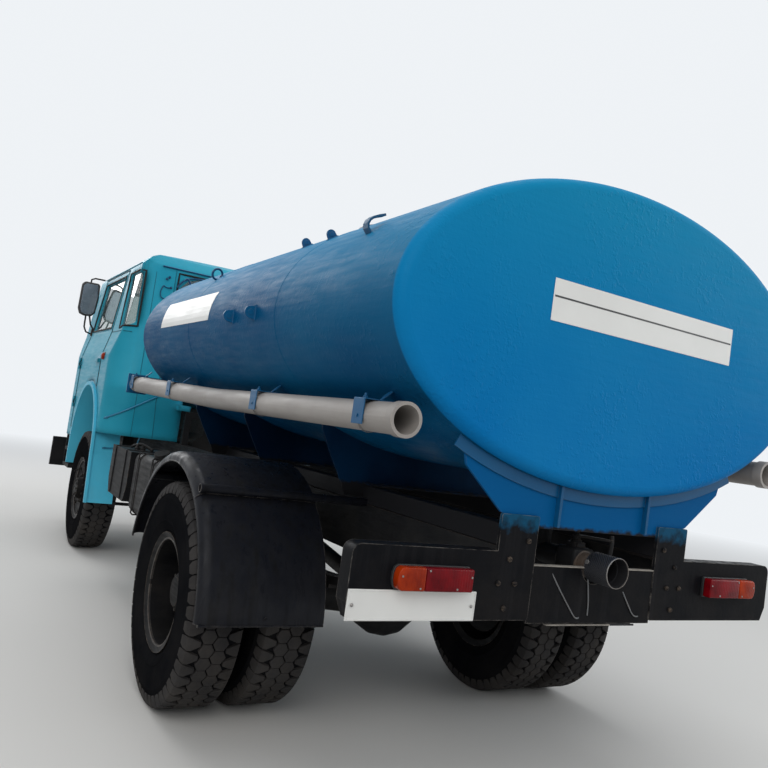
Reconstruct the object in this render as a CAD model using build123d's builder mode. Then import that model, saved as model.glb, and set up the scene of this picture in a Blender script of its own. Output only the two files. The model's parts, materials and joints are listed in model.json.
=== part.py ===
"""Cab-over water tanker truck, 4x2, with an elliptical tank and a hose tube along each side.

The truck faces +X, its left side is +Y and Z is up. The origin lies on the ground at the middle
of the truck's length and width. All sizes are in millimetres. Pieces that come in pairs are drawn
on the left and mirrored.
"""
import os
from math import cos, radians, sin, sqrt

from build123d import *

os.makedirs("parts", exist_ok=True)

SEAT_GAP = 0.3          # thin clearance between fitted pieces
MOVE_GAP = 8.0          # running gap round the doors

# Stations along X
wheelbase = 3850.0
front_overhang = 1358.0
bumper_to_axle = 1557.0
coupler_reach = 115.0
overall_length = coupler_reach + bumper_to_axle + wheelbase + front_overhang
x_tail = -overall_length / 2
x_bumper = x_tail + coupler_reach
x_rear = x_bumper + bumper_to_axle
x_front = x_rear + wheelbase
x_nose = x_front + front_overhang

# Wheels
tyre_radius = 530.0
tyre_half_width = 142.0
tyre_shoulder = 46.0
lug_depth = 10.0
rim_radius = 262.0
rim_half_width = 108.0
rim_flange = 22.0
rim_thick = 14.0
bead_half = 96.0
axle_height = tyre_radius
front_wheel_y = 940.0
rear_outer_y = 1136.0
dual_spacing = 350.0
rear_inner_y = rear_outer_y - dual_spacing
rear_disc_y = (rear_outer_y + rear_inner_y) / 2

# Frame
rail_web_y = 432.5
rail_bottom = 830.0
rail_height = 250.0
rail_top = rail_bottom + rail_height
rail_flange = 78.0
rail_thick = 8.0
web_inner_y = rail_web_y - rail_thick
post_thick = 14.0
rail_rear_x = x_bumper + post_thick
rail_front_x = x_front + 1100.0
sill_width = 80.0
sill_height = 88.0
sill_top = rail_top + sill_height

# Tank
tank_half_width = 1102.0
tank_half_height = 604.0
tank_centre_z = 1926.0
tank_top = tank_centre_z + tank_half_height
tank_bottom = tank_centre_z - tank_half_height
tank_rear_x = x_bumper - 52.0
tank_length = 3631.0
tank_front_x = tank_rear_x + tank_length
tank_edge_radius = 42.0
manhole_x = x_bumper + 1900.0
manhole_bore = 240.0
manhole_wall = 20.0
manhole_depth = 220.0
manhole_rise = 110.0
manhole_top = tank_top + manhole_rise
manhole_flange = 290.0
flange_thick = 12.0

# Cab
cab_rear_x = x_front - 800.0
cab_front_x = x_front + 1235.0
cab_half_width = 1096.0
cab_waist_z = 1780.0
cab_belt_z = 1990.0
cab_belt_half = 1040.0
cab_gutter_z = 2590.0
cab_gutter_half = 966.0
cab_roof_z = 2731.0
cab_wall = 40.0
cab_rear_sill_z = 1094.0
cab_front_sill_z = 960.0
door_thick = 34.0
deck_z = 1490.0
deck_thick = 40.0
floor_z = 1100.0
riser_x = x_front + 600.0
tunnel_half = 380.0
tilt_x = x_front + 1215.0
tilt_z = 935.0
tilt_pin_radius = 15.0

# Wheel arches of the cab
arch_radius = 600.0
arch_centre_z = 900.0
arch_skin = 12.0
arch_inner_y = 880.0
arch_outer_y = 1118.0

# Doors and windows of the cab
door_rear_x = x_front - 287.0
door_front_x = x_front + 794.0
door_bottom_z = 1050.0
door_top_z = 2580.0
door_arch_radius = arch_radius + 40.0
window_bottom_z = 2040.0
side_window_y = 890.0
glass_inset = 14.0
glass_thick = 6.0
HINGE_LEVELS = (1250.0, 1640.0)
hinge_x = door_front_x + MOVE_GAP / 2
hinge_y = cab_half_width + 12.0
hinge_radius = 10.0
hinge_pin_radius = 5.0
hinge_leaf = 52.0
hinge_eye = 40.0
hinge_step = 3.0
hinge_cheek = 32.0


def at_x(x):
    """Cross plane at station x, with local x along +Y and local y along +Z."""
    return Plane.YZ.offset(x)


def at_y(y):
    """Lengthwise plane at width y, with local x along +X and local y along +Z."""
    return Plane.XZ.offset(-y)


def tank_half_at(z):
    """Half width of the tank's ellipse at height z."""
    return tank_half_width * sqrt(max(0.0, 1 - ((z - tank_centre_z) / tank_half_height) ** 2))


def tank_bar(gap):
    """The tank's elliptical barrel grown by a gap, for pieces that fit against it."""
    with BuildPart() as body:
        with BuildSketch(at_x(tank_rear_x - gap)):
            with Locations((0, tank_centre_z)):
                Ellipse(tank_half_width + gap, tank_half_height + gap)
        extrude(amount=tank_length + 2 * gap)
    return body.part


tank_fit = tank_bar(SEAT_GAP)

# Frame rails: channel sections open to the middle
with BuildPart() as frame_rails:
    with BuildSketch(at_x(rail_rear_x)):
        with Locations((rail_web_y - rail_flange / 2, rail_bottom + rail_height / 2)):
            Rectangle(rail_flange, rail_height)
        with Locations((rail_web_y - rail_thick - rail_flange / 2, rail_bottom + rail_height / 2)):
            Rectangle(rail_flange, rail_height - 2 * rail_thick, mode=Mode.SUBTRACT)
    extrude(amount=rail_front_x - rail_rear_x)
    mirror(about=Plane.XZ)
frame_rails.part.label = "frame_rails"
export_step(frame_rails.part, "parts/frame_rails.step")

# Cross members between the webs, and the post frame that the cab's rear rests on
member_width = 90.0
member_wall = 8.0
radiator_x = x_front + 685.0
radiator_bottom = 900.0
MEMBERS = (             # station, bottom, height
    (x_bumper + 480.0, 925.0, 110.0),
    (x_rear - 420.0, 925.0, 110.0),
    (x_rear + 640.0, 925.0, 110.0),
    (x_front - 1420.0, 925.0, 110.0),
    (radiator_x, rail_bottom + rail_thick, radiator_bottom - rail_bottom - rail_thick),
    (x_front + 1030.0, 925.0, 110.0),
)
rest_x = cab_rear_x - 90.0
rest_top = 1372.0
rest_size = 56.0
with BuildPart() as cross_members:
    for station, bottom, height in MEMBERS:
        with BuildSketch(at_y(-web_inner_y)):
            with Locations((station, bottom + height / 2)):
                RectangleRounded(member_width, height, 14)
                Rectangle(member_width - 2 * member_wall, height - 2 * member_wall, mode=Mode.SUBTRACT)
        extrude(amount=-2 * web_inner_y)
    with BuildSketch(Plane.XY.offset(rail_top)):
        with Locations((rest_x, rail_web_y - rest_size / 2), (rest_x, -rail_web_y + rest_size / 2)):
            RectangleRounded(rest_size, rest_size, 6)
    extrude(amount=rest_top - rail_top)
    with Locations((rest_x, 0, rest_top - rest_size / 2)):
        Box(rest_size, 2 * rail_web_y - 20, rest_size)
cross_members.part.label = "cross_members"
export_step(cross_members.part, "parts/cross_members.step")

# Tilt hinges of the cab: two ears and a pin on the end of each rail
ear_inner_y = 448.0
ear_outer_y = 516.0
ear_thick = 16.0
ear_radius = 27.0
ear_root_x = x_front + 940.0
ear_root_length = 110.0
with BuildPart() as cab_hinges:
    for ear_y in (ear_inner_y, ear_outer_y):
        with BuildSketch(at_y(ear_y)):
            with BuildLine():
                Polyline((ear_root_x, rail_bottom + 30), (ear_root_x, rail_top - 60),
                         (tilt_x, tilt_z + ear_radius), (tilt_x, tilt_z - ear_radius), close=True)
            make_face()
            with Locations((tilt_x, tilt_z)):
                Circle(ear_radius)
        extrude(amount=-ear_thick)
    with BuildSketch(at_y(rail_web_y)):
        with Locations((ear_root_x + ear_root_length / 2, (rail_bottom + rail_top - 30) / 2)):
            Rectangle(ear_root_length, rail_height - 90)
    extrude(amount=-(ear_outer_y + ear_thick - rail_web_y))
    with BuildSketch(at_y(ear_inner_y)):
        with Locations((tilt_x, tilt_z)):
            Circle(tilt_pin_radius)
    extrude(amount=-(ear_outer_y + ear_thick - ear_inner_y))
    mirror(about=Plane.XZ)
cab_hinges.part.label = "cab_hinges"
export_step(cab_hinges.part, "parts/cab_hinges.step")

# Tank cradle: two sills on the rails and four saddles that follow the tank's underside
SADDLES = (rail_rear_x + 6.0, x_bumper + 1188.0, x_bumper + 2288.0, tank_front_x - 287.0)
REAR_SADDLE = ((705, 1428), (690, 1372), (507, 1217), (330, sill_top))
OTHER_SADDLES = ((705, 1418), (640, 1300), (565, 1175), (535, 1112), (400, 1112), (400, sill_top))
saddle_thick = 12.0
saddle_flange = 10.0
saddle_foot = 50.0
sill_overhang = 222.0
sill_length = SADDLES[-1] + sill_overhang - rail_rear_x
with BuildPart() as tank_cradle:
    with BuildSketch(at_x(rail_rear_x)):
        with Locations((rail_web_y - sill_width / 2, rail_top + sill_height / 2),
                       (-rail_web_y + sill_width / 2, rail_top + sill_height / 2)):
            RectangleRounded(sill_width, sill_height, 8)
    extrude(amount=sill_length)
    for station in SADDLES:
        edge = REAR_SADDLE if station == SADDLES[0] else OTHER_SADDLES
        with BuildSketch(at_x(station - saddle_thick / 2)):
            with BuildLine():
                Polyline((-705, 1500), *[(-y, z) for y, z in edge], *reversed(edge), (705, 1500), close=True)
            make_face()
        extrude(amount=saddle_thick)
        foot_start = max(station - saddle_foot, rail_rear_x)
        with BuildSketch(at_x(foot_start)):
            with Locations((0, sill_top + saddle_flange / 2)):
                Rectangle(2 * rail_web_y, saddle_flange)
        extrude(amount=station + saddle_foot - foot_start)
    add(tank_fit, mode=Mode.SUBTRACT)
tank_cradle.part.label = "tank_cradle"
export_step(tank_cradle.part, "parts/tank_cradle.step")

# Tank: an elliptical barrel with knuckled ends and the manhole's throat in its top
with BuildPart() as tank:
    with BuildSketch(at_x(tank_rear_x)):
        with Locations((0, tank_centre_z)):
            Ellipse(tank_half_width, tank_half_height)
    extrude(amount=tank_length)
    with BuildSketch(Plane.XY.offset(tank_top - manhole_depth)):
        with Locations((manhole_x, 0)):
            Circle(manhole_bore)
    extrude(amount=manhole_depth + 10, mode=Mode.SUBTRACT)
    fillet(tank.edges().group_by(Axis.X)[0] + tank.edges().group_by(Axis.X)[-1], tank_edge_radius)
tank.part.label = "tank"
export_step(tank.part, "parts/tank.step")

# Manhole neck with its flange and the ears of the lid's hinge
lid_hinge_x = manhole_x - manhole_flange - 32.0
lid_hinge_z = manhole_top + 26.0
lid_pin_radius = 8.0
lid_ear_y = 44.0
lid_ear_thick = 20.0
with BuildPart() as manhole:
    with BuildSketch(Plane.XY.offset(tank_top - 60)):
        with Locations((manhole_x, 0)):
            Circle(manhole_bore + manhole_wall)
    extrude(amount=manhole_top - tank_top + 60)
    with BuildSketch(Plane.XY.offset(manhole_top - flange_thick)):
        with Locations((manhole_x, 0)):
            Circle(manhole_flange)
    extrude(amount=flange_thick)
    for ear_y in (-lid_ear_y - lid_ear_thick, lid_ear_y):
        with BuildSketch(at_y(ear_y)):
            with BuildLine():
                Polyline((manhole_x - manhole_flange + 40, manhole_top - flange_thick),
                         (manhole_x - manhole_flange + 40, manhole_top), (manhole_x - manhole_flange + 2, manhole_top),
                         (lid_hinge_x + 16, lid_hinge_z + 6), (lid_hinge_x - 16, lid_hinge_z),
                         (lid_hinge_x - 16, manhole_top - flange_thick), close=True)
            make_face()
            with Locations((lid_hinge_x, lid_hinge_z)):
                Circle(18)
        extrude(amount=-lid_ear_thick)
    with BuildSketch(at_y(-lid_ear_y - lid_ear_thick)):
        with Locations((lid_hinge_x, lid_hinge_z)):
            Circle(lid_pin_radius)
    extrude(amount=-2 * (lid_ear_y + lid_ear_thick))
    with BuildSketch(Plane.XY.offset(tank_centre_z)):
        with Locations((manhole_x, 0)):
            Circle(manhole_bore)
    extrude(amount=1000, mode=Mode.SUBTRACT)
    add(tank_fit, mode=Mode.SUBTRACT)
manhole.part.label = "manhole"
export_step(manhole.part, "parts/manhole.step")

# Manhole lid: a dished cover with a hinge eye round the pin
lid_rest_z = manhole_top + SEAT_GAP
lid_radius = manhole_flange - 6.0
lid_thick = 10.0
lid_crown = 28.0
with BuildPart() as manhole_lid:
    with BuildSketch(Plane.XZ):
        with BuildLine():
            Polyline((manhole_x, lid_rest_z), (manhole_x + lid_radius, lid_rest_z),
                     (manhole_x + lid_radius, lid_rest_z + lid_thick),
                     (manhole_x + 0.62 * lid_radius, lid_rest_z + lid_thick + 0.7 * lid_crown),
                     (manhole_x, lid_rest_z + lid_thick + lid_crown), close=True)
        make_face()
    revolve(axis=Axis((manhole_x, 0, 0), (0, 0, 1)))
    with BuildSketch(at_y(-lid_ear_y + MOVE_GAP)):
        with BuildLine():
            Polyline((lid_hinge_x, lid_hinge_z - 15), (manhole_x - lid_radius + 54, lid_rest_z + 2),
                     (manhole_x - lid_radius + 54, lid_rest_z + lid_thick + 4), (lid_hinge_x, lid_hinge_z + 15),
                     close=True)
        make_face()
        with Locations((lid_hinge_x, lid_hinge_z)):
            Circle(15)
            Circle(lid_pin_radius + SEAT_GAP, mode=Mode.SUBTRACT)
    extrude(amount=-2 * (lid_ear_y - MOVE_GAP))
manhole_lid.part.label = "manhole_lid"
export_step(manhole_lid.part, "parts/manhole_lid.step")

# Hose tubes: open pipes beside the tank that swing outwards towards the front
tube_radius = 55.6
tube_wall = 5.6
tube_y = 989.0
tube_z = 1495.0
tube_rear_x = x_bumper - 27.0
tube_bend_x = x_bumper + 2000.0
tube_front = (tank_front_x - 19.0, 1085.0, 1533.0)
bell_radius = 61.6
bell_length = 45.0


def tube_centre(x):
    """Centre of the left hose tube at station x."""
    share = max(0.0, (x - tube_bend_x) / (tube_front[0] - tube_bend_x))
    return tube_y + share * (tube_front[1] - tube_y), tube_z + share * (tube_front[2] - tube_z)


def tube_bar(radius):
    """The left hose tube as a plain round bar of some radius."""
    with BuildPart() as bar:
        with BuildLine() as route:
            Polyline((tube_rear_x, tube_y, tube_z), (tube_bend_x, tube_y, tube_z), tube_front)
        with BuildSketch(at_x(tube_rear_x)):
            with Locations((tube_y, tube_z)):
                Circle(radius)
        sweep(path=route.wires()[0], transition=Transition.RIGHT)
    return bar.part


tube_outside = tube_bar(tube_radius)
tube_inside = tube_bar(tube_radius - tube_wall)
tube_fit = tube_bar(tube_radius + SEAT_GAP)
with BuildPart() as hose_tubes:
    add(tube_outside)
    with BuildSketch(at_x(tube_rear_x)):
        with Locations((tube_y, tube_z)):
            Circle(bell_radius)
    extrude(amount=bell_length)
    add(tube_inside, mode=Mode.SUBTRACT)
    mirror(about=Plane.XZ)
hose_tubes.part.label = "hose_tubes"
export_step(hose_tubes.part, "parts/hose_tubes.step")

# Clamps that hold the hose tubes: a strap round each tube, an arm to the tank, and a cap on the front end
CLAMPS = (x_bumper + 210.0, x_bumper + 1265.0, x_bumper + 2670.0, tank_front_x - 89.0)
strap_thick = 6.0
strap_width = 44.0
gusset_thick = 12.0
gusset_rise = 70.0
tube_cap = 140.0
tube_cap_thick = 8.0
tube_cap_plane = Plane(origin=tube_front, z_dir=Vector(*tube_front) - Vector(tube_bend_x, tube_y, tube_z))
with BuildPart() as tube_clamps:
    for station in CLAMPS:
        centre_y, centre_z = tube_centre(station)
        root_y = tank_half_at(centre_z + 20) - 30
        with BuildSketch(at_x(station - strap_width / 2)):
            with Locations((centre_y, centre_z)):
                Circle(tube_radius + strap_thick)
            with Locations(((root_y + centre_y) / 2, centre_z + 30)):
                Rectangle(centre_y - root_y, 44)
        extrude(amount=strap_width)
        with BuildSketch(at_x(station - gusset_thick / 2)):
            with BuildLine():
                Polyline((centre_y + 30, centre_z + 40), (centre_y + 30, centre_z + 70),
                         (tank_half_at(centre_z + gusset_rise) - 20, centre_z + gusset_rise), (root_y, centre_z + 20),
                         close=True)
            make_face()
        extrude(amount=gusset_thick)
    add(tube_fit, mode=Mode.SUBTRACT)
    add(tank_fit, mode=Mode.SUBTRACT)
    with BuildSketch(tube_cap_plane):
        RectangleRounded(tube_cap, tube_cap, 8)
    extrude(amount=tube_cap_thick)
    mirror(about=Plane.XZ)
tube_clamps.part.label = "tube_clamps"
export_step(tube_clamps.part, "parts/tube_clamps.step")

# Small hooks, lugs and pads on the tank's sides
FITTINGS = (            # station, width, height, size along X, size up, reach
    (x_bumper + 470.0, 960.0, 2220.0, 16.0, 90.0, 60.0),
    (x_bumper + 1063.0, 853.0, 2309.0, 48.0, 43.0, 20.0),
    (x_bumper + 1381.0, 838.0, 2318.0, 48.0, 43.0, 20.0),
    (x_bumper + 1264.0, 1101.0, 1904.0, 70.0, 60.0, 14.0),
    (x_bumper + 1578.0, 1101.0, 1904.0, 70.0, 60.0, 14.0),
    (x_bumper + 2444.0, 932.0, 2247.0, 40.0, 50.0, 26.0),
    (tank_front_x - 79.0, 830.0, 2322.0, 16.0, 80.0, 50.0),
)
fitting_root = 30.0
with BuildPart() as tank_fittings:
    for station, width, height, along, tall, reach in FITTINGS:
        with Locations((station, width + (reach - fitting_root) / 2, height)):
            Box(along, reach + fitting_root, tall)
    add(tank_fit, mode=Mode.SUBTRACT)
    mirror(about=Plane.XZ)
tank_fittings.part.label = "tank_fittings"
export_step(tank_fittings.part, "parts/tank_fittings.step")

# Discharge pipe: out through the rear bumper, with an elbow up to the tank and a valve
pipe_radius = 45.0
pipe_wall = 8.0
pipe_y = 10.0
pipe_z = 1036.0
pipe_rise_x = x_bumper + 330.0
coupler_radius = 60.0
coupler_length = 75.0
elbow_radius = 110.0
valve_x = x_bumper + 120.0
with BuildPart() as discharge_pipe:
    with BuildLine(at_y(pipe_y)) as pipe_route:
        FilletPolyline((x_tail + 20, pipe_z), (pipe_rise_x, pipe_z), (pipe_rise_x, tank_bottom + 20),
                       radius=elbow_radius)
    with BuildSketch(at_x(x_tail + 20)):
        with Locations((pipe_y, pipe_z)):
            Circle(pipe_radius)
    sweep(path=pipe_route.wires()[0])
    with BuildSketch(at_x(x_tail)):
        with Locations((pipe_y, pipe_z)):
            Circle(coupler_radius)
    extrude(amount=coupler_length)
    with BuildSketch(at_x(x_tail)):
        with Locations((pipe_y, pipe_z)):
            Circle(pipe_radius - pipe_wall)
    extrude(amount=coupler_length + 40, mode=Mode.SUBTRACT)
    with Locations((valve_x, pipe_y, pipe_z)):
        Box(110, 120, 116)
    with Locations((valve_x, pipe_y, pipe_z + 80)):
        Cylinder(16, 60)
    with Locations((valve_x - 50, pipe_y - 50, pipe_z + 104)):
        Box(150, 130, 12)
    add(tank_fit, mode=Mode.SUBTRACT)
discharge_pipe.part.label = "discharge_pipe"
export_step(discharge_pipe.part, "parts/discharge_pipe.step")

# Rear bumper: two folded wings, a lower middle with a notch for the pipe, and two posts
wing_outer_y = 1106.0
wing_bottom = 827.0
wing_top = 1078.0
wing_depth = 70.0
wing_sheet = 6.0
wing_corner = 35.0
post_inner_y = 329.0
post_outer_y = 509.0
post_top = 1214.0
middle_top = 1030.0
middle_bottom = 815.0
with BuildPart() as rear_bumper:
    with BuildSketch(at_x(x_bumper)) as wing:
        with BuildLine():
            Polyline((post_outer_y - 2, wing_bottom), (wing_outer_y - 26, wing_bottom),
                     (wing_outer_y, wing_bottom + 60), (wing_outer_y, wing_top), (post_outer_y - 2, wing_top),
                     close=True)
        make_face()
        fillet(wing.vertices().sort_by(Axis.X)[-2:].sort_by(Axis.Y)[-1], wing_corner)
    extrude(amount=wing_depth)
    with BuildSketch(at_x(x_bumper + wing_sheet)) as hollow:
        with BuildLine():
            Polyline((post_outer_y + 4, wing_bottom + wing_sheet),
                     (wing_outer_y - 26 - wing_sheet, wing_bottom + wing_sheet),
                     (wing_outer_y - wing_sheet, wing_bottom + 62), (wing_outer_y - wing_sheet, wing_top - wing_sheet),
                     (post_outer_y + 4, wing_top - wing_sheet), close=True)
        make_face()
        fillet(hollow.vertices().sort_by(Axis.X)[-2:].sort_by(Axis.Y)[-1], wing_corner - wing_sheet)
    extrude(amount=wing_depth, mode=Mode.SUBTRACT)
    with BuildSketch(at_x(x_bumper)):
        with Locations(((post_inner_y + post_outer_y) / 2, (wing_bottom + post_top) / 2)):
            RectangleRounded(post_outer_y - post_inner_y, post_top - wing_bottom, 8)
    extrude(amount=post_thick)
    mirror(about=Plane.XZ)
    with BuildSketch(at_x(x_bumper + 4)):
        with Locations((0, (middle_bottom + middle_top) / 2)):
            Rectangle(2 * post_inner_y + 8, middle_top - middle_bottom)
        with Locations((pipe_y, pipe_z)):
            Circle(coupler_radius + MOVE_GAP, mode=Mode.SUBTRACT)
    extrude(amount=post_thick - 4)
rear_bumper.part.label = "rear_bumper"
export_step(rear_bumper.part, "parts/rear_bumper.step")

# Front bumper: a deep beam with round lamp pockets, on brackets under the rails
bumper_depth = 108.0
bumper_half = 1180.0
bumper_bottom = 600.0
bumper_top = 900.0
headlamp_y = 850.0
headlamp_z = 750.0
headlamp_radius = 105.0
pocket_depth = 68.0
bumper_rear_x = x_nose - bumper_depth
bracket_width = 80.0
with BuildPart() as front_bumper:
    with BuildSketch(Plane.XY.offset(bumper_bottom)):
        with BuildLine():
            Polyline((bumper_rear_x, 0), (x_nose, 0), (x_nose, bumper_half - 260), (x_nose - 20, bumper_half - 130),
                     (bumper_rear_x + 40, bumper_half), (bumper_rear_x, bumper_half), close=True)
        make_face()
    extrude(amount=bumper_top - bumper_bottom)
    with BuildSketch(at_x(x_nose - pocket_depth)):
        with Locations((headlamp_y, headlamp_z)):
            Circle(headlamp_radius + SEAT_GAP)
    extrude(amount=bumper_depth, mode=Mode.SUBTRACT)
    with BuildSketch(at_y(rail_web_y - bracket_width)):
        with BuildLine():
            Polyline((x_front + 990, rail_bottom - 60), (x_front + 990, rail_bottom), (rail_front_x, rail_bottom),
                     (rail_front_x, rail_bottom + 60), (bumper_rear_x + 10, rail_bottom + 60),
                     (bumper_rear_x + 10, rail_bottom - 130), (rail_front_x, rail_bottom - 130), close=True)
        make_face()
    extrude(amount=-bracket_width)
    mirror(about=Plane.XZ)
front_bumper.part.label = "front_bumper"
export_step(front_bumper.part, "parts/front_bumper.step")

# Lamps: round headlamps in the front bumper and flat tail lamps on the rear one
lamp_inner_y = 636.0
lamp_outer_y = 951.0
lamp_bottom = 933.0
lamp_top = 1018.0
lamp_depth = 50.0
with BuildPart() as lamps:
    with BuildSketch(at_x(x_nose - pocket_depth)):
        with Locations((headlamp_y, headlamp_z)):
            Circle(headlamp_radius)
    extrude(amount=pocket_depth - 10)
    with BuildSketch(at_x(x_bumper)):
        with Locations(((lamp_inner_y + lamp_outer_y) / 2, (lamp_bottom + lamp_top) / 2)):
            RectangleRounded(lamp_outer_y - lamp_inner_y, lamp_top - lamp_bottom, 8)
    extrude(amount=-lamp_depth)
    mirror(about=Plane.XZ)
lamps.part.label = "lamps"
export_step(lamps.part, "parts/lamps.step")

# Leaf springs: four leaves at each wheel, clamped on the axle, with hangers on the rails
LEAVES = ((280.0, 10.0), (440.0, 25.0), (600.0, 46.0), (760.0, 74.0))   # half length, rise at the ends
leaf_thick = 20.0
leaf_width = 84.0
front_spring_y = 392.0
rear_spring_y = 540.0
front_pad_z = axle_height + 52.0
rear_pad_z = axle_height + 92.0
SPRINGS = ((x_rear, rear_spring_y, rear_pad_z), (x_front, front_spring_y, front_pad_z))
hanger_length = 90.0
spring_stack = leaf_thick * len(LEAVES)
with BuildPart() as leaf_springs:
    for spring_x, spring_y, pad_z in SPRINGS:
        for order, (half_length, rise) in enumerate(LEAVES):
            low = pad_z + order * leaf_thick
            high = low + leaf_thick
            with BuildSketch(at_y(spring_y - leaf_width / 2)):
                with BuildLine():
                    ThreePointArc((spring_x - half_length, low + rise), (spring_x, low),
                                  (spring_x + half_length, low + rise))
                    Line((spring_x + half_length, low + rise), (spring_x + half_length, high + rise))
                    ThreePointArc((spring_x + half_length, high + rise), (spring_x, high),
                                  (spring_x - half_length, high + rise))
                    Line((spring_x - half_length, high + rise), (spring_x - half_length, low + rise))
                make_face()
            extrude(amount=-leaf_width)
        with Locations((spring_x, spring_y, pad_z + spring_stack / 2)):
            Box(120, leaf_width + 24, spring_stack)
        end_z = pad_z + spring_stack + LEAVES[-1][1]
        for end in (1, -1):
            hanger_x = spring_x + end * (LEAVES[-1][0] - 30)
            if spring_y > rail_web_y:
                with Locations((hanger_x, (rail_web_y + spring_y + leaf_width / 2) / 2, end_z + 40)):
                    Box(hanger_length, spring_y + leaf_width / 2 - rail_web_y, 110)
            else:
                with Locations((hanger_x, spring_y, (end_z - 12 + rail_bottom) / 2)):
                    Box(hanger_length, leaf_width - 10, rail_bottom - end_z + 12)
    mirror(about=Plane.XZ)
leaf_springs.part.label = "leaf_springs"
export_step(leaf_springs.part, "parts/leaf_springs.step")

# Rear axle: a banjo housing with tapered arms and the stubs that the hubs turn on
rear_stub_radius = 42.0
housing_radius = 74.0
rear_stub_end = 1090.0
pinion_x = x_rear + 330.0
pinion_z = axle_height + 20.0
with BuildPart() as rear_axle:
    with BuildSketch(Plane.XY.offset(axle_height)):
        with BuildLine():
            Polyline((x_rear, 0), (x_rear + 218, 0), (x_rear + 205, 70), (x_rear + 150, 160),
                     (x_rear + housing_radius + 16, 260), (x_rear + housing_radius, 420),
                     (x_rear + housing_radius, 660), (x_rear + rear_stub_radius + 14, 664),
                     (x_rear + rear_stub_radius + 14, 700), (x_rear + rear_stub_radius, 704),
                     (x_rear + rear_stub_radius, rear_stub_end), (x_rear, rear_stub_end), close=True)
        make_face()
    revolve(axis=Axis((x_rear, 0, axle_height), (0, 1, 0)))
    with Locations((x_rear, rear_spring_y, (axle_height + rear_pad_z) / 2)):
        Box(120, leaf_width, rear_pad_z - axle_height)
    mirror(about=Plane.XZ)
    with BuildSketch(at_x(x_rear + 150)):
        with Locations((0, pinion_z)):
            Circle(125)
    with BuildSketch(at_x(pinion_x)):
        with Locations((0, pinion_z)):
            Circle(78)
    loft()
rear_axle.part.label = "rear_axle"
export_step(rear_axle.part, "parts/rear_axle.step")

# Front axle: a dropped beam with an eye at each end for the kingpin
kingpin_y = 800.0
kingpin_radius = 22.0
eye_radius = 52.0
eye_half = 56.0
beam_drop = 70.0
beam_half = 36.0
with BuildPart() as front_axle:
    with BuildSketch(at_x(x_front - beam_half)):
        with BuildLine():
            Polyline((0, axle_height - beam_drop - 46), (560, axle_height - beam_drop - 46),
                     (690, axle_height - 44), (kingpin_y, axle_height - 44), (kingpin_y, axle_height + 38),
                     (690, axle_height + 38), (580, axle_height - beam_drop + 44), (0, axle_height - beam_drop + 44),
                     close=True)
        make_face()
    extrude(amount=2 * beam_half)
    with Locations((x_front, kingpin_y, axle_height)):
        Cylinder(eye_radius, 2 * eye_half)
        Cylinder(kingpin_radius + SEAT_GAP, 4 * eye_half, mode=Mode.SUBTRACT)
    with Locations((x_front, front_spring_y, (front_pad_z + axle_height - beam_drop) / 2)):
        Box(110, leaf_width, front_pad_z - axle_height + beam_drop)
    mirror(about=Plane.XZ)
front_axle.part.label = "front_axle"
export_step(front_axle.part, "parts/front_axle.step")

# Steering knuckles: a fork round the axle's eye, a kingpin through it and the wheel's stub
front_stub_radius = 36.0
front_stub_end = front_wheel_y + 96.0
fork_gap = 6.0
fork_thick = 26.0
fork_half = eye_half + fork_gap + fork_thick
cheek_y = kingpin_y + eye_radius + fork_gap
cheek_thick = 28.0
arm_reach = 170.0
arm_width = 44.0
arm_z = axle_height - fork_half + fork_thick / 2
with BuildPart() as knuckle_left:
    for level in (1, -1):
        with BuildSketch(Plane.XY.offset(axle_height + level * (fork_half - fork_thick / 2) - fork_thick / 2)):
            with Locations((x_front, kingpin_y)):
                Circle(eye_radius - 4)
            with Locations((x_front, (kingpin_y + cheek_y + cheek_thick) / 2)):
                Rectangle(80, cheek_y + cheek_thick - kingpin_y)
        extrude(amount=fork_thick)
    with Locations((x_front, cheek_y + cheek_thick / 2, axle_height)):
        Box(92, cheek_thick, 2 * fork_half)
    with Locations((x_front, kingpin_y, axle_height)):
        Cylinder(kingpin_radius, 2 * fork_half)
    with BuildSketch(at_y(cheek_y)):
        with Locations((x_front, axle_height)):
            Circle(front_stub_radius)
    extrude(amount=-(front_stub_end - cheek_y))
    with BuildSketch(Plane.XY.offset(arm_z - fork_thick / 2)):
        with Locations((x_front - arm_reach / 2, kingpin_y)):
            Rectangle(arm_reach, arm_width)
    extrude(amount=fork_thick)
knuckle_left.part.label = "knuckle_left"
export_step(knuckle_left.part, "parts/knuckle_left.step")

with BuildPart() as knuckle_right:
    mirror(knuckle_left.part, about=Plane.XZ)
knuckle_right.part.label = "knuckle_right"
export_step(knuckle_right.part, "parts/knuckle_right.step")

# Tie rod behind the axle beam, with its end eyes under the steering arms
tie_rod_radius = 15.0
tie_eye_radius = 23.0
tie_rod_x = x_front - arm_reach + 20
tie_rod_z = arm_z - fork_thick / 2 - SEAT_GAP - tie_rod_radius
with BuildPart() as tie_rod:
    with BuildSketch(at_y(-kingpin_y)):
        with Locations((tie_rod_x, tie_rod_z)):
            Circle(tie_rod_radius)
    extrude(amount=-2 * kingpin_y)
    with BuildSketch(Plane.XY.offset(tie_rod_z - tie_rod_radius)):
        with Locations((tie_rod_x, kingpin_y), (tie_rod_x, -kingpin_y)):
            Circle(tie_eye_radius)
    extrude(amount=2 * tie_rod_radius)
tie_rod.part.label = "tie_rod"
export_step(tie_rod.part, "parts/tie_rod.step")


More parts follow.
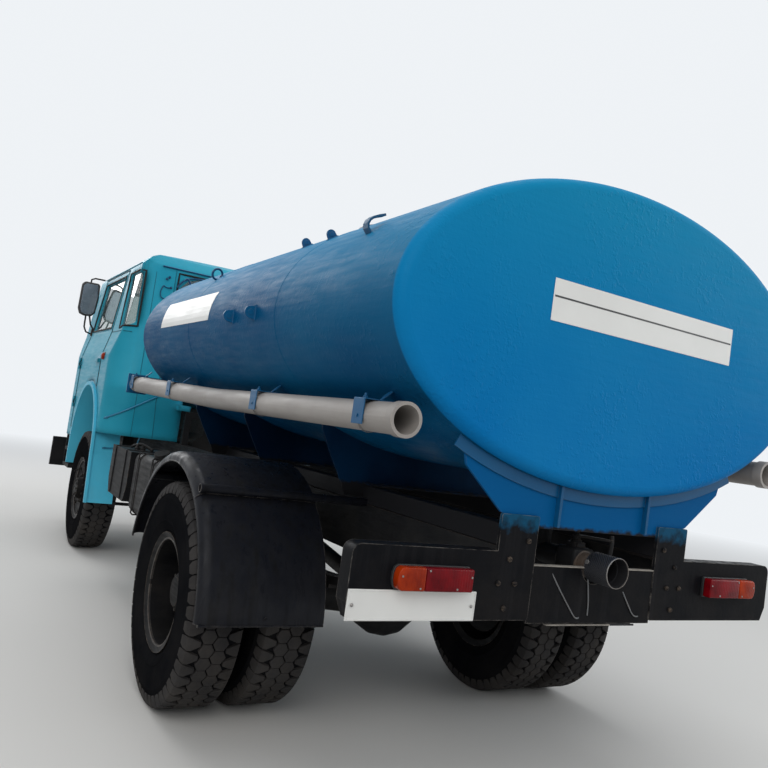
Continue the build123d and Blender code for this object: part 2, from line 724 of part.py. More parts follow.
def tyre(centre_x, centre_y):
    """One tyre: open bead, bulged side walls, square shoulders and a flat tread."""
    bead = rim_radius + SEAT_GAP
    shoulder = tyre_radius - tyre_shoulder
    tread = tyre_radius - lug_depth
    half = tyre_half_width
    with BuildPart() as body:
        with BuildSketch(Plane.XY.offset(axle_height)):
            with BuildLine():
                Polyline((centre_x + bead, centre_y - bead_half), (centre_x + bead, centre_y + bead_half),
                         (centre_x + bead + rim_flange, centre_y + bead_half + 16))
                ThreePointArc((centre_x + bead + rim_flange, centre_y + bead_half + 16),
                              (centre_x + bead + 112, centre_y + half), (centre_x + shoulder, centre_y + half - 16))
                Polyline((centre_x + shoulder, centre_y + half - 16), (centre_x + tread, centre_y + half - 20),
                         (centre_x + tyre_radius, centre_y + half - 36), (centre_x + tyre_radius, centre_y - half + 36),
                         (centre_x + tread, centre_y - half + 20), (centre_x + shoulder, centre_y - half + 16))
                ThreePointArc((centre_x + shoulder, centre_y - half + 16), (centre_x + bead + 112, centre_y - half),
                              (centre_x + bead + rim_flange, centre_y - bead_half - 16))
                Line((centre_x + bead + rim_flange, centre_y - bead_half - 16),
                     (centre_x + bead, centre_y - bead_half))
            make_face()
        revolve(axis=Axis((centre_x, centre_y, axle_height), (0, 1, 0)))
    return body.part


def ring(centre_x, points):
    """A turned ring about a wheel's axle, from points of (radius, width along Y)."""
    with BuildPart() as body:
        with BuildSketch(Plane.XY.offset(axle_height)):
            with BuildLine():
                Polyline(*[(centre_x + radius, y) for radius, y in points], close=True)
            make_face()
        revolve(axis=Axis((centre_x, 0, axle_height), (0, 1, 0)))
    return body.part


def barrel(centre_x, centre_y):
    """The barrel of a rim, with a flange at each edge."""
    low = centre_y - rim_half_width
    high = centre_y + rim_half_width
    lip = rim_radius + rim_flange
    inside = rim_radius - rim_thick
    return ring(centre_x, ((inside, low), (lip, low - 14), (lip, low - 4), (rim_radius, low + 8),
                           (rim_radius, high - 8), (lip, high + 4), (lip, high + 14), (inside, high)))


def hand_holes(centre_x, low_y, high_y):
    """Round bars that cut the hand holes through a wheel's discs."""
    with BuildPart() as bars:
        with BuildSketch(at_y(low_y)):
            with Locations((centre_x, axle_height)):
                with PolarLocations(hand_hole_ring, hand_hole_count):
                    Circle(hand_hole_radius)
        extrude(amount=low_y - high_y)
    return bars.part


# Front wheels: a dished disc near the outer edge, a hub with its cap and a brake drum
hand_hole_count = 8
hand_hole_ring = 221.0
hand_hole_radius = 19.0
drum_radius = 195.0
disc_rim = rim_radius - rim_thick + 4.0
front_hub_y = cheek_y + cheek_thick + 8.0
front_disc_y = front_wheel_y + 70.0
front_bore = front_stub_radius + SEAT_GAP
front_bore_end = front_stub_end + 5.0
front_barrel = barrel(x_front, front_wheel_y)
front_disc = ring(x_front, ((front_bore, front_hub_y), (drum_radius, front_hub_y), (drum_radius, front_disc_y),
                            (disc_rim, front_disc_y + 16), (disc_rim, front_disc_y + 32), (150, front_disc_y + 8),
                            (96, front_disc_y + 8), (88, front_bore_end + 44), (0, front_bore_end + 50),
                            (0, front_bore_end), (front_bore, front_bore_end)))
front_holes = hand_holes(x_front, front_disc_y - 6, front_disc_y + 60)
with BuildPart() as front_rim_left:
    add(front_barrel)
    add(front_disc)
    add(front_holes, mode=Mode.SUBTRACT)
front_rim_left.part.label = "front_rim_left"
export_step(front_rim_left.part, "parts/front_rim_left.step")

with BuildPart() as front_rim_right:
    mirror(front_rim_left.part, about=Plane.XZ)
front_rim_right.part.label = "front_rim_right"
export_step(front_rim_right.part, "parts/front_rim_right.step")

front_tyre_body = tyre(x_front, front_wheel_y)
with BuildPart() as front_tyre_left:
    add(front_tyre_body)
front_tyre_left.part.label = "front_tyre_left"
export_step(front_tyre_left.part, "parts/front_tyre_left.step")

with BuildPart() as front_tyre_right:
    mirror(front_tyre_body, about=Plane.XZ)
front_tyre_right.part.label = "front_tyre_right"
export_step(front_tyre_right.part, "parts/front_tyre_right.step")

# Rear twin wheels: two barrels whose discs bolt back to back on a long hub
rear_hub_y = 714.0
rear_bore = rear_stub_radius + SEAT_GAP
rear_bore_end = rear_stub_end + 6.0
outer_barrel = barrel(x_rear, rear_outer_y)
inner_barrel = barrel(x_rear, rear_inner_y)
rear_disc = ring(x_rear, ((rear_bore, rear_hub_y), (drum_radius + 5, rear_hub_y), (drum_radius + 5, rear_disc_y - 56),
                          (disc_rim, rear_inner_y + 82), (disc_rim, rear_inner_y + 100), (185, rear_disc_y - 8),
                          (185, rear_disc_y + 8), (disc_rim, rear_outer_y - 100), (disc_rim, rear_outer_y - 84),
                          (160, rear_disc_y + 24), (118, rear_disc_y + 24), (108, rear_bore_end + 60),
                          (70, rear_bore_end + 94), (0, rear_bore_end + 98), (0, rear_bore_end),
                          (rear_bore, rear_bore_end)))
rear_holes = hand_holes(x_rear, rear_disc_y - 100, rear_disc_y + 100)
with BuildPart() as rear_rims_left:
    add(outer_barrel)
    add(inner_barrel)
    add(rear_disc)
    add(rear_holes, mode=Mode.SUBTRACT)
rear_rims_left.part.label = "rear_rims_left"
export_step(rear_rims_left.part, "parts/rear_rims_left.step")

with BuildPart() as rear_rims_right:
    mirror(rear_rims_left.part, about=Plane.XZ)
rear_rims_right.part.label = "rear_rims_right"
export_step(rear_rims_right.part, "parts/rear_rims_right.step")

outer_tyre = tyre(x_rear, rear_outer_y)
inner_tyre = tyre(x_rear, rear_inner_y)
with BuildPart() as rear_tyres_left:
    add(outer_tyre)
    add(inner_tyre)
rear_tyres_left.part.label = "rear_tyres_left"
export_step(rear_tyres_left.part, "parts/rear_tyres_left.step")

with BuildPart() as rear_tyres_right:
    mirror(rear_tyres_left.part, about=Plane.XZ)
rear_tyres_right.part.label = "rear_tyres_right"
export_step(rear_tyres_right.part, "parts/rear_tyres_right.step")

# Rear mudguards: two lapped sheets round the twin tyres, a turned edge and two tubes to the rail
guard_radius = 674.0
guard_sheet = 8.0
guard_inner_y = 705.0
guard_outer_y = 1285.0
guard_edge = 22.0
guard_tube_radius = 20.0
GUARD_TUBES = ((405.0, 1044.0), (-420.0, 1087.0))     # from the axle along X, height
guard_front = 14.0
guard_rear = 178.0


def guard_band(inner_radius, outer_radius, low, high, from_y, to_y):
    """A curved strip about the rear axle between two angles, measured from +X upwards."""
    low_end = (cos(radians(low)), sin(radians(low)))
    high_end = (cos(radians(high)), sin(radians(high)))
    with BuildPart() as band:
        with BuildSketch(at_y(from_y)):
            with BuildLine():
                CenterArc((x_rear, axle_height), outer_radius, low, high - low)
                CenterArc((x_rear, axle_height), inner_radius, low, high - low)
                for end in (low_end, high_end):
                    Line((x_rear + outer_radius * end[0], axle_height + outer_radius * end[1]),
                         (x_rear + inner_radius * end[0], axle_height + inner_radius * end[1]))
            make_face()
        extrude(amount=from_y - to_y)
    return band.part


lower_sheet = guard_band(guard_radius - guard_sheet, guard_radius, 124, guard_rear, guard_inner_y, guard_outer_y)
upper_sheet = guard_band(guard_radius, guard_radius + guard_sheet, guard_front, 128, guard_inner_y, guard_outer_y)
turned_edge = guard_band(guard_radius - guard_sheet - guard_edge, guard_radius + guard_sheet, guard_front, guard_rear,
                         guard_outer_y - guard_sheet, guard_outer_y)
with BuildPart() as rear_mudguards:
    add(lower_sheet)
    add(upper_sheet)
    add(turned_edge)
    for tube_x, tube_height in GUARD_TUBES:
        with BuildSketch(at_y(rail_web_y)):
            with Locations((x_rear + tube_x, tube_height)):
                Circle(guard_tube_radius)
        extrude(amount=-(guard_outer_y - guard_sheet - rail_web_y))
    mirror(about=Plane.XZ)
rear_mudguards.part.label = "rear_mudguards"
export_step(rear_mudguards.part, "parts/rear_mudguards.step")

# Engine: one block on feet over the rails
engine_rear_x = x_front - 780.0
engine_length = 1200.0
with BuildPart() as engine:
    with BuildSketch(at_x(engine_rear_x)):
        with BuildLine():
            Polyline((0, 720), (160, 720), (200, 850), (290, 900), (290, 1120), (210, 1180), (200, 1400), (0, 1400),
                     close=True)
        make_face()
    extrude(amount=engine_length)
    for foot_x in (x_front - 620.0, x_front + 240.0):
        with Locations((foot_x, 350, rail_top + 10)):
            Box(90, 140, 20)
    mirror(about=Plane.XZ)
engine.part.label = "engine"
export_step(engine.part, "parts/engine.step")

# Driveline: bell housing, gearbox and the propeller shaft to the rear axle
bell_housing_length = 220.0
gearbox_end_x = x_front - 1250.0
gearbox_z = 880.0
shaft_radius = 48.0
shaft_start = Vector(gearbox_end_x, 0, gearbox_z)
shaft_end = Vector(pinion_x + 24, 0, pinion_z)
with BuildPart() as driveline:
    with BuildSketch(at_x(engine_rear_x)):
        with Locations((0, gearbox_z)):
            Circle(200)
    with BuildSketch(at_x(engine_rear_x - bell_housing_length)):
        with Locations((0, gearbox_z)):
            Circle(150)
    loft()
    with Locations(((gearbox_end_x + engine_rear_x - bell_housing_length + 20) / 2, 0, gearbox_z)):
        Box(engine_rear_x - bell_housing_length + 20 - gearbox_end_x, 270, 240)
    with BuildSketch(Plane(origin=shaft_start, z_dir=shaft_end - shaft_start)):
        Circle(shaft_radius)
    extrude(amount=(shaft_end - shaft_start).length)
    with BuildSketch(at_x(pinion_x + SEAT_GAP)):
        with Locations((0, pinion_z)):
            Circle(74)
    extrude(amount=30)
driveline.part.label = "driveline"
export_step(driveline.part, "parts/driveline.step")

# Radiator: core between two header tanks, standing on its cross member
radiator_top = 1400.0
header_height = 70.0
with BuildPart() as radiator:
    with Locations((radiator_x, 0, (radiator_bottom + radiator_top) / 2)):
        Box(60, 640, radiator_top - radiator_bottom)
    with Locations((radiator_x, 0, radiator_bottom + header_height / 2),
                   (radiator_x, 0, radiator_top - header_height / 2)):
        Box(84, 670, header_height)
radiator.part.label = "radiator"
export_step(radiator.part, "parts/radiator.step")

# Fuel tank on the left, with straps and two arms to the rail, and a tilted filler
fuel_x = x_bumper + 2750.0
fuel_length = 600.0
fuel_inner_y = 600.0
fuel_outer_y = 1060.0
fuel_bottom = 640.0
fuel_top = 1060.0
with BuildPart() as fuel_tank:
    with BuildSketch(at_x(fuel_x)):
        with Locations(((fuel_inner_y + fuel_outer_y) / 2, (fuel_bottom + fuel_top) / 2)):
            RectangleRounded(fuel_outer_y - fuel_inner_y, fuel_top - fuel_bottom, 60)
    extrude(amount=fuel_length)
    for strap_x in (fuel_x + 110, fuel_x + fuel_length - 110):
        with BuildSketch(at_x(strap_x - 30)):
            with Locations(((fuel_inner_y + fuel_outer_y) / 2, (fuel_bottom + fuel_top) / 2)):
                RectangleRounded(fuel_outer_y - fuel_inner_y + 10, fuel_top - fuel_bottom + 10, 64)
            with Locations(((rail_web_y + fuel_inner_y + 10) / 2, 960)):
                Rectangle(fuel_inner_y + 10 - rail_web_y, 120)
        extrude(amount=60)
    with BuildSketch(Plane(origin=(fuel_x + 150, 985, fuel_top - 20), z_dir=(-0.25, 0.35, 1))):
        Circle(50)
    extrude(amount=66)
fuel_tank.part.label = "fuel_tank"
export_step(fuel_tank.part, "parts/fuel_tank.step")

# Battery box on the left, between the fuel tank and the cab
box_x = x_bumper + 3420.0
box_length = 640.0
box_inner_y = 650.0
box_outer_y = 1080.0
with BuildPart() as battery_box:
    with BuildSketch(at_y(box_inner_y)):
        with BuildLine():
            Polyline((box_x + 60, 690), (box_x + box_length - 60, 690), (box_x + box_length, 800),
                     (box_x + box_length, 1050), (box_x, 1050), (box_x, 800), close=True)
        make_face()
    extrude(amount=box_inner_y - box_outer_y)
    for arm_x in (box_x + 120, box_x + box_length - 120):
        with Locations((arm_x, (rail_web_y + box_inner_y + 10) / 2, 930)):
            Box(60, box_inner_y + 10 - rail_web_y, 110)
battery_box.part.label = "battery_box"
export_step(battery_box.part, "parts/battery_box.step")

# Air tanks on the right, under two cross arms
air_x = x_bumper + 2700.0
air_length = 700.0
air_radius = 105.0
with BuildPart() as air_tanks:
    with BuildSketch(at_x(air_x)):
        with Locations((-590, 900), (-840, 900)):
            Circle(air_radius)
    extrude(amount=air_length)
    for arm_x in (air_x + 150, air_x + air_length - 150):
        with Locations((arm_x, -(rail_web_y + 900) / 2, 900 + air_radius)):
            Box(60, 900 - rail_web_y, 24)
air_tanks.part.label = "air_tanks"
export_step(air_tanks.part, "parts/air_tanks.step")


def cab_plan(inset):
    """Plan outline of the cab, drawn in by an inset, with rounded corners."""
    with BuildSketch() as plan:
        with BuildLine():
            for side in (1, -1):
                ThreePointArc((cab_rear_x, side * 830), (cab_rear_x + 76, side * 1032), (cab_rear_x + 260, side * 1115))
                Line((cab_rear_x + 260, side * 1115), (cab_front_x - 330, side * 1115))
                ThreePointArc((cab_front_x - 330, side * 1115), (cab_front_x - 96, side * 1010),
                              (cab_front_x, side * 770))
            Line((cab_rear_x, -830), (cab_rear_x, 830))
            Line((cab_front_x, -770), (cab_front_x, 770))
        make_face()
        if inset:
            offset(amount=-inset)
    return plan.sketch


def cab_form(inset):
    """The cab's form drawn in by an inset: its side, front and plan outlines in common.

    The outer form ends at the sills. An inner form runs on downwards, so that it opens the floor.
    """
    plan = cab_plan(inset)
    with BuildPart() as form:
        with BuildSketch(at_y(-1300)):
            with BuildLine():
                roof_line = ((cab_rear_x, cab_gutter_z + 20), (cab_rear_x + 30, 2690), (cab_rear_x + 110, cab_roof_z),
                             (cab_front_x - 275, cab_roof_z), (cab_front_x - 155, 2690),
                             (cab_front_x - 105, cab_gutter_z), (cab_front_x - 8, cab_belt_z - 90),
                             (cab_front_x, cab_waist_z))
                if inset:
                    Polyline((cab_rear_x, 700), *roof_line, (cab_front_x, 700), close=True)
                else:
                    Polyline((cab_rear_x, cab_rear_sill_z), *roof_line, (cab_front_x, cab_front_sill_z),
                             (riser_x - 10, cab_front_sill_z), (riser_x - 10, cab_rear_sill_z), close=True)
            make_face()
            if inset:
                offset(amount=-inset, kind=Kind.INTERSECTION)
        extrude(amount=-2600)
        with BuildSketch(at_x(cab_rear_x - 50)):
            with BuildLine():
                for side in (1, -1):
                    Polyline((side * 827, 2700), (side * 892, 2671), (side * cab_gutter_half, cab_gutter_z),
                             (side * cab_belt_half, cab_belt_z), (side * (cab_half_width - 11), cab_waist_z + 30),
                             (side * cab_half_width, cab_waist_z - 20), (side * cab_half_width, cab_rear_sill_z),
                             (side * (cab_half_width - 6), 690))
                Line((-cab_half_width + 6, 690), (cab_half_width - 6, 690))
                ThreePointArc((-827, 2700), (0, cab_roof_z), (827, 2700))
            make_face()
            if inset:
                offset(amount=-inset, kind=Kind.INTERSECTION)
        extrude(amount=cab_front_x - cab_rear_x + 100, mode=Mode.INTERSECT)
        with BuildSketch(Plane.XY.offset(650)):
            add(plan)
        extrude(amount=2200, mode=Mode.INTERSECT)
    return form.part


def door_outline(grow):
    """Side outline of a door, grown by a gap: square to the pillars and cut round the wheel arch."""
    with BuildSketch() as outline:
        with BuildLine():
            Polyline((door_rear_x - grow, 1200), (door_rear_x - grow, door_top_z + grow),
                     (door_front_x + grow, door_top_z + grow), (door_front_x + grow, door_bottom_z - grow),
                     (x_front + 300, door_bottom_z - grow), (x_front + 300, 1200), close=True)
        make_face()
        with Locations((x_front, arch_centre_z)):
            Circle(door_arch_radius - grow, mode=Mode.SUBTRACT)
    return outline.sketch


WINDOWS = {
    "door": ((door_rear_x + 66, window_bottom_z), (door_rear_x + 66, door_top_z - 62),
             (door_front_x - 70, door_top_z - 62), (door_front_x - 70, window_bottom_z)),
    "quarter": ((x_front - 778, 2050), (x_front - 778, 2524), (x_front - 410, 2524), (x_front - 600, 2022)),
    "back": ((150, 2050), (150, 2557), (436, 2557), (560, 2515), (640, 2420), (640, 2050)),
    "front": ((22, 1990), (22, 2530), (850, 2530), (900, 1990)),
}


def window_outline(name, shrink):
    """Outline of one window on the left, drawn in by a clearance."""
    with BuildSketch() as outline:
        with BuildLine():
            Polyline(*WINDOWS[name], close=True)
        make_face()
        fillet(outline.vertices(), 40)
        if shrink:
            offset(amount=-shrink)
    return outline.sketch


def side_prism(outline, low_y, high_y):
    """A side outline pushed out between two widths on the left."""
    with BuildPart() as prism:
        with BuildSketch(at_y(low_y)):
            add(outline)
        extrude(amount=low_y - high_y)
    return prism.part


def cross_prism(outline, low_x, high_x):
    """A cross outline pushed along X between two stations."""
    with BuildPart() as prism:
        with BuildSketch(at_x(low_x)):
            add(outline)
        extrude(amount=high_x - low_x)
    return prism.part


cab_outer = cab_form(0)
cab_inner = cab_form(cab_wall)
cab_fit = cab_form(cab_wall + SEAT_GAP)
door_inner = cab_form(door_thick)
glass_outer = cab_form(glass_inset)
glass_inner = cab_form(glass_inset + glass_thick)

opening_prism = side_prism(door_outline(MOVE_GAP), 850, 1250)
door_prism = side_prism(door_outline(0), 850, 1250)
WINDOW_PRISMS = {}
for window_name in WINDOWS:
    for window_use, window_shrink in (("hole", 0), ("pane", SEAT_GAP)):
        window_face = window_outline(window_name, window_shrink)
        if window_name in ("door", "quarter"):
            WINDOW_PRISMS[window_name, window_use] = side_prism(window_face, side_window_y, 1250)
        elif window_name == "back":
            WINDOW_PRISMS[window_name, window_use] = cross_prism(window_face, cab_rear_x - 20, cab_rear_x + 80)
        else:
            WINDOW_PRISMS[window_name, window_use] = cross_prism(window_face, cab_front_x - 330, cab_front_x + 20)

with BuildPart() as door_openings:
    add(opening_prism)
    add(cab_inner, mode=Mode.SUBTRACT)
    mirror(about=Plane.XZ)

# Cab side of the door hinges: a leaf, two cheeks and the pin at each level
with BuildPart() as hinge_posts:
    for level in HINGE_LEVELS:
        for low, tall, radius in ((level, hinge_cheek, hinge_radius),
                                  (level + hinge_cheek, hinge_eye + 2 * hinge_step, hinge_pin_radius),
                                  (level + hinge_cheek + hinge_eye + 2 * hinge_step, hinge_cheek, hinge_radius)):
            with BuildSketch(Plane.XY.offset(low)):
                with Locations((hinge_x, hinge_y)):
                    Circle(radius)
            extrude(amount=tall)
            if radius == hinge_radius:
                with BuildSketch(Plane.XY.offset(low)):
                    with Locations((hinge_x + hinge_leaf / 2, hinge_y - 8)):
                        Rectangle(hinge_leaf, 8)
                extrude(amount=tall)
    mirror(about=Plane.XZ)

# Cab shell: skin, deck over the engine, footwells, tunnel and the eyes of the tilt hinge
lug_inner_y = 470.0
lug_width = 40.0
lug_radius = 26.0
rest_arm_y = (400.0, 500.0)
skin_overlap = cab_plan(cab_wall - 2)
with BuildPart() as cab_shell:
    add(cab_outer)
    add(cab_inner, mode=Mode.SUBTRACT)
    with BuildSketch(Plane.XY.offset(deck_z)):
        add(skin_overlap)
        for side in (1, -1):
            with Locations((riser_x + cab_wall + 1000, side * (tunnel_half + cab_wall + 1000))):
                Rectangle(2000, 2000, mode=Mode.SUBTRACT)
    extrude(amount=deck_thick)
    with BuildSketch(Plane.XY.offset(floor_z)):
        add(skin_overlap)
        with Locations((riser_x - 2000, 0)):
            Rectangle(4000, 4000, mode=Mode.SUBTRACT)
        Rectangle(20000, 2 * tunnel_half, mode=Mode.SUBTRACT)
    extrude(amount=deck_thick)
    with BuildSketch(Plane.XY.offset(floor_z)):
        for side in (1, -1):
            with Locations((riser_x + cab_wall / 2, side * (tunnel_half + cab_half_width - cab_wall + 2) / 2)):
                Rectangle(cab_wall, cab_half_width - cab_wall + 2 - tunnel_half)
            with Locations(((riser_x + cab_front_x - 20) / 2, side * (tunnel_half + cab_wall / 2))):
                Rectangle(cab_front_x - 20 - riser_x, cab_wall)
    extrude(amount=deck_z - floor_z + 1)
    for low_y, high_y in ((arch_inner_y - SEAT_GAP, 1300), (-1300, -arch_inner_y + SEAT_GAP)):
        with BuildSketch(at_y(low_y)):
            with Locations((x_front, arch_centre_z)):
                Circle(arch_radius + SEAT_GAP)
        extrude(amount=low_y - high_y, mode=Mode.SUBTRACT)
    with Locations((cab_rear_x + cab_wall / 2, 0, (cab_rear_sill_z + deck_z) / 2 - 10)):
        Box(cab_wall + 4, 2 * 442, deck_z - cab_rear_sill_z + 20, mode=Mode.SUBTRACT)
    for side in (1, -1):
        with Locations((tilt_x, side * (ear_inner_y + ear_outer_y + ear_thick) / 2, cab_front_sill_z + 20)):
            Box(80, ear_outer_y + ear_thick - ear_inner_y + 16, 60, mode=Mode.SUBTRACT)
    for low_y in (lug_inner_y, -lug_inner_y - lug_width):
        with BuildSketch(at_y(low_y)):
            with BuildLine():
                Polyline((tilt_x - 90, floor_z + 4), (tilt_x - lug_radius, tilt_z), (tilt_x + 15, tilt_z),
                         (tilt_x + 15, floor_z + 4), close=True)
            make_face()
            with Locations((tilt_x, tilt_z)):
                Circle(lug_radius)
                Circle(tilt_pin_radius + SEAT_GAP, mode=Mode.SUBTRACT)
        extrude(amount=-lug_width)
    for side in (1, -1):
        with Locations((cab_rear_x - 50, side * sum(rest_arm_y) / 2, rest_top + SEAT_GAP + 24)):
            Box(140, rest_arm_y[1] - rest_arm_y[0], 48)
    add(door_openings.part, mode=Mode.SUBTRACT)
    add(hinge_posts.part)
    for window_name in ("quarter", "back", "front"):
        add(WINDOW_PRISMS[window_name, "hole"], mode=Mode.SUBTRACT)
    mirror_windows = [mirror(WINDOW_PRISMS[name, "hole"], about=Plane.XZ, mode=Mode.PRIVATE)
                      for name in ("quarter", "back", "front")]
    add(mirror_windows, mode=Mode.SUBTRACT)
cab_shell.part.label = "cab_shell"
export_step(cab_shell.part, "parts/cab_shell.step")

# Cab glass: two windscreen panes, two quarter windows and two back windows
with BuildPart() as pane_holes:
    for window_name in ("quarter", "back", "front"):
        add(WINDOW_PRISMS[window_name, "pane"])
    mirror(about=Plane.XZ)

with BuildPart() as cab_glass:
    add(glass_outer)
    add(glass_inner, mode=Mode.SUBTRACT)
    add(pane_holes.part, mode=Mode.INTERSECT)
cab_glass.part.label = "cab_glass"
export_step(cab_glass.part, "parts/cab_glass.step")

# Doors: curved slabs with a window hole, and a handle
with BuildPart() as door_left:
    add(cab_outer)
    add(door_inner, mode=Mode.SUBTRACT)
    add(door_prism, mode=Mode.INTERSECT)
    add(WINDOW_PRISMS["door", "hole"], mode=Mode.SUBTRACT)
    with Locations((door_rear_x + 130, cab_half_width + 8, 1720)):
        Box(170, 26, 34)
    for level in HINGE_LEVELS:
        with BuildSketch(Plane.XY.offset(level + hinge_cheek + hinge_step)):
            with Locations((hinge_x - hinge_leaf / 2, hinge_y - 8)):
                Rectangle(hinge_leaf, 8)
            with Locations((hinge_x, hinge_y)):
                Circle(hinge_radius)
                Circle(hinge_pin_radius + SEAT_GAP, mode=Mode.SUBTRACT)
        extrude(amount=hinge_eye)
door_left.part.label = "door_left"
export_step(door_left.part, "parts/door_left.step")

with BuildPart() as door_right:
    mirror(door_left.part, about=Plane.XZ)
door_right.part.label = "door_right"
export_step(door_right.part, "parts/door_right.step")

with BuildPart() as door_left_glass:
    add(glass_outer)
    add(glass_inner, mode=Mode.SUBTRACT)
    add(WINDOW_PRISMS["door", "pane"], mode=Mode.INTERSECT)
door_left_glass.part.label = "door_left_glass"
export_step(door_left_glass.part, "parts/door_left_glass.step")

with BuildPart() as door_right_glass:
    mirror(door_left_glass.part, about=Plane.XZ)
door_right_glass.part.label = "door_right_glass"
export_step(door_right_glass.part, "parts/door_right_glass.step")

# Wheel arches of the cab: a half ring, a slanted rear leg, a short front leg and an outer lip
arch_lip = 22.0
rear_leg_foot = (-680.0, 492.0)
front_leg_foot = (604.0, 700.0)
with BuildPart() as cab_arches:
    for low_y, inner_lip in ((arch_inner_y, 0.0), (cab_half_width + SEAT_GAP, arch_lip)):
        with BuildSketch(at_y(low_y)):
            with Locations((x_front, arch_centre_z)):
                Circle(arch_radius + inner_lip)
                Circle(arch_radius - arch_skin, mode=Mode.SUBTRACT)
            with Locations((x_front, arch_centre_z - 1000)):
                Rectangle(3000, 2000, mode=Mode.SUBTRACT)
            for (foot_x, foot_z), way in ((rear_leg_foot, -1), (front_leg_foot, 1)):
                with BuildLine():
                    Polyline((x_front + way * (arch_radius - arch_skin), arch_centre_z),
                             (x_front + way * (arch_radius + inner_lip), arch_centre_z),
                             (x_front + foot_x + way * inner_lip, foot_z),
                             (x_front + foot_x - way * arch_skin, foot_z), close=True)
                make_face()
        extrude(amount=low_y - arch_outer_y)
    mirror(about=Plane.XZ)
cab_arches.part.label = "cab_arches"
export_step(cab_arches.part, "parts/cab_arches.step")

# Entry steps under the doors: two treads between two cheeks, hung from the cab's sill
steps_rear_x = x_front + 640.0
steps_front_x = x_front + 1000.0
steps_inner_y = 884.0
steps_outer_y = 1086.0
steps_bottom = 640.0
step_rise = 160.0
step_tread = 34.0
step_sheet = 10.0
with BuildPart() as cab_steps:
    for cheek_x in (steps_rear_x, steps_front_x - step_sheet):
        with BuildSketch(at_x(cheek_x)):
            with BuildLine():
                Polyline((steps_inner_y, steps_bottom), (steps_outer_y, steps_bottom),
                         (steps_outer_y, cab_front_sill_z), (steps_outer_y - 60, cab_front_sill_z),
                         (steps_inner_y, steps_bottom + step_rise + step_tread), close=True)
            make_face()
        extrude(amount=step_sheet)
    for tread_z in (steps_bottom, steps_bottom + step_rise):
        with BuildSketch(Plane.XY.offset(tread_z)):
            with Locations(((steps_rear_x + steps_front_x) / 2, (steps_inner_y + steps_outer_y) / 2)):
                Rectangle(steps_front_x - steps_rear_x, steps_outer_y - steps_inner_y)
        extrude(amount=step_tread)
    with BuildSketch(Plane.XY.offset(cab_front_sill_z - step_sheet)):
        with Locations(((steps_rear_x + steps_front_x) / 2, steps_outer_y - 30)):
            Rectangle(steps_front_x - steps_rear_x, 60)
    extrude(amount=step_sheet)
    mirror(about=Plane.XZ)
cab_steps.part.label = "cab_steps"
export_step(cab_steps.part, "parts/cab_steps.step")

# Front panel with its slats
grille_half = 620.0
grille_bottom = 1150.0
grille_top = 1650.0
grille_depth = 14.0
grille_slots = 6
slot_pitch = (grille_top - grille_bottom - 40) / grille_slots
with BuildPart() as grille:
    with BuildSketch(at_x(cab_front_x)):
        with Locations((0, (grille_bottom + grille_top) / 2)):
            RectangleRounded(2 * grille_half, grille_top - grille_bottom, 30)
        with Locations((0, (grille_bottom + grille_top) / 2)):
            with GridLocations(0, slot_pitch, 1, grille_slots):
                SlotOverall(2 * grille_half - 80, slot_pitch - 26, mode=Mode.SUBTRACT)
    extrude(amount=grille_depth)
grille.part.label = "grille"
export_step(grille.part, "parts/grille.step")

# Dashboard across the cab, with the steering column
wheel_centre = Vector(x_front + 700, 480, 1900)
column_plane = Plane(origin=wheel_centre, z_dir=(0.7557, 0, -0.6549))
shaft_core = 12.0
with BuildPart() as dashboard:
    with BuildSketch(at_y(-1090)):
        with BuildLine():
            Polyline((x_front + 960, 1640), (x_front + 960, 1740), (x_front + 1040, 1810), (cab_front_x, 1850),
                     (cab_front_x, 1560), (x_front + 1100, 1560), close=True)
        make_face()
    extrude(amount=-2180)
    add(cab_fit, mode=Mode.INTERSECT)
    with BuildSketch(column_plane.offset(56)):
        Circle(34)
    extrude(amount=380)
    with BuildSketch(column_plane.offset(50)):
        Circle(shaft_core + SEAT_GAP)
    extrude(amount=110, mode=Mode.SUBTRACT)
dashboard.part.label = "dashboard"
export_step(dashboard.part, "parts/dashboard.step")

# Steering wheel with its hub, spokes and a short shaft into the column
wheel_radius = 226.0
wheel_grip = 14.0
with BuildPart() as steering_wheel:
    with Locations(column_plane):
        Torus(wheel_radius, wheel_grip)
        Cylinder(48, 44)
        Box(24, 2 * wheel_radius, 12)
    with BuildSketch(column_plane):
        Circle(shaft_core)
    extrude(amount=150)
    with BuildSketch(column_plane.offset(-6)):
        with Locations((wheel_radius / 2, 0)):
            Rectangle(wheel_radius, 30)
    extrude(amount=12)
steering_wheel.part.label = "steering_wheel"
export_step(steering_wheel.part, "parts/steering_wheel.step")

# Two seats on the deck
seat_y = 480.0
seat_half = 245.0
deck_top = deck_z + deck_thick
with BuildPart() as cab_seats:
    with BuildSketch(at_y(seat_y - seat_half)):
        with BuildLine():
            Polyline((x_front - 60, deck_top), (x_front + 400, deck_top), (x_front + 450, deck_top + 120),
                     (x_front + 430, deck_top + 190), (x_front - 20, deck_top + 170), (x_front - 150, deck_top + 700),
                     (x_front - 250, deck_top + 700), (x_front - 160, deck_top + 60), close=True)
        make_face()
    extrude(amount=-2 * seat_half)
    fillet(cab_seats.edges().filter_by(Axis.Y), 20)
    mirror(about=Plane.XZ)
cab_seats.part.label = "cab_seats"
export_step(cab_seats.part, "parts/cab_seats.step")

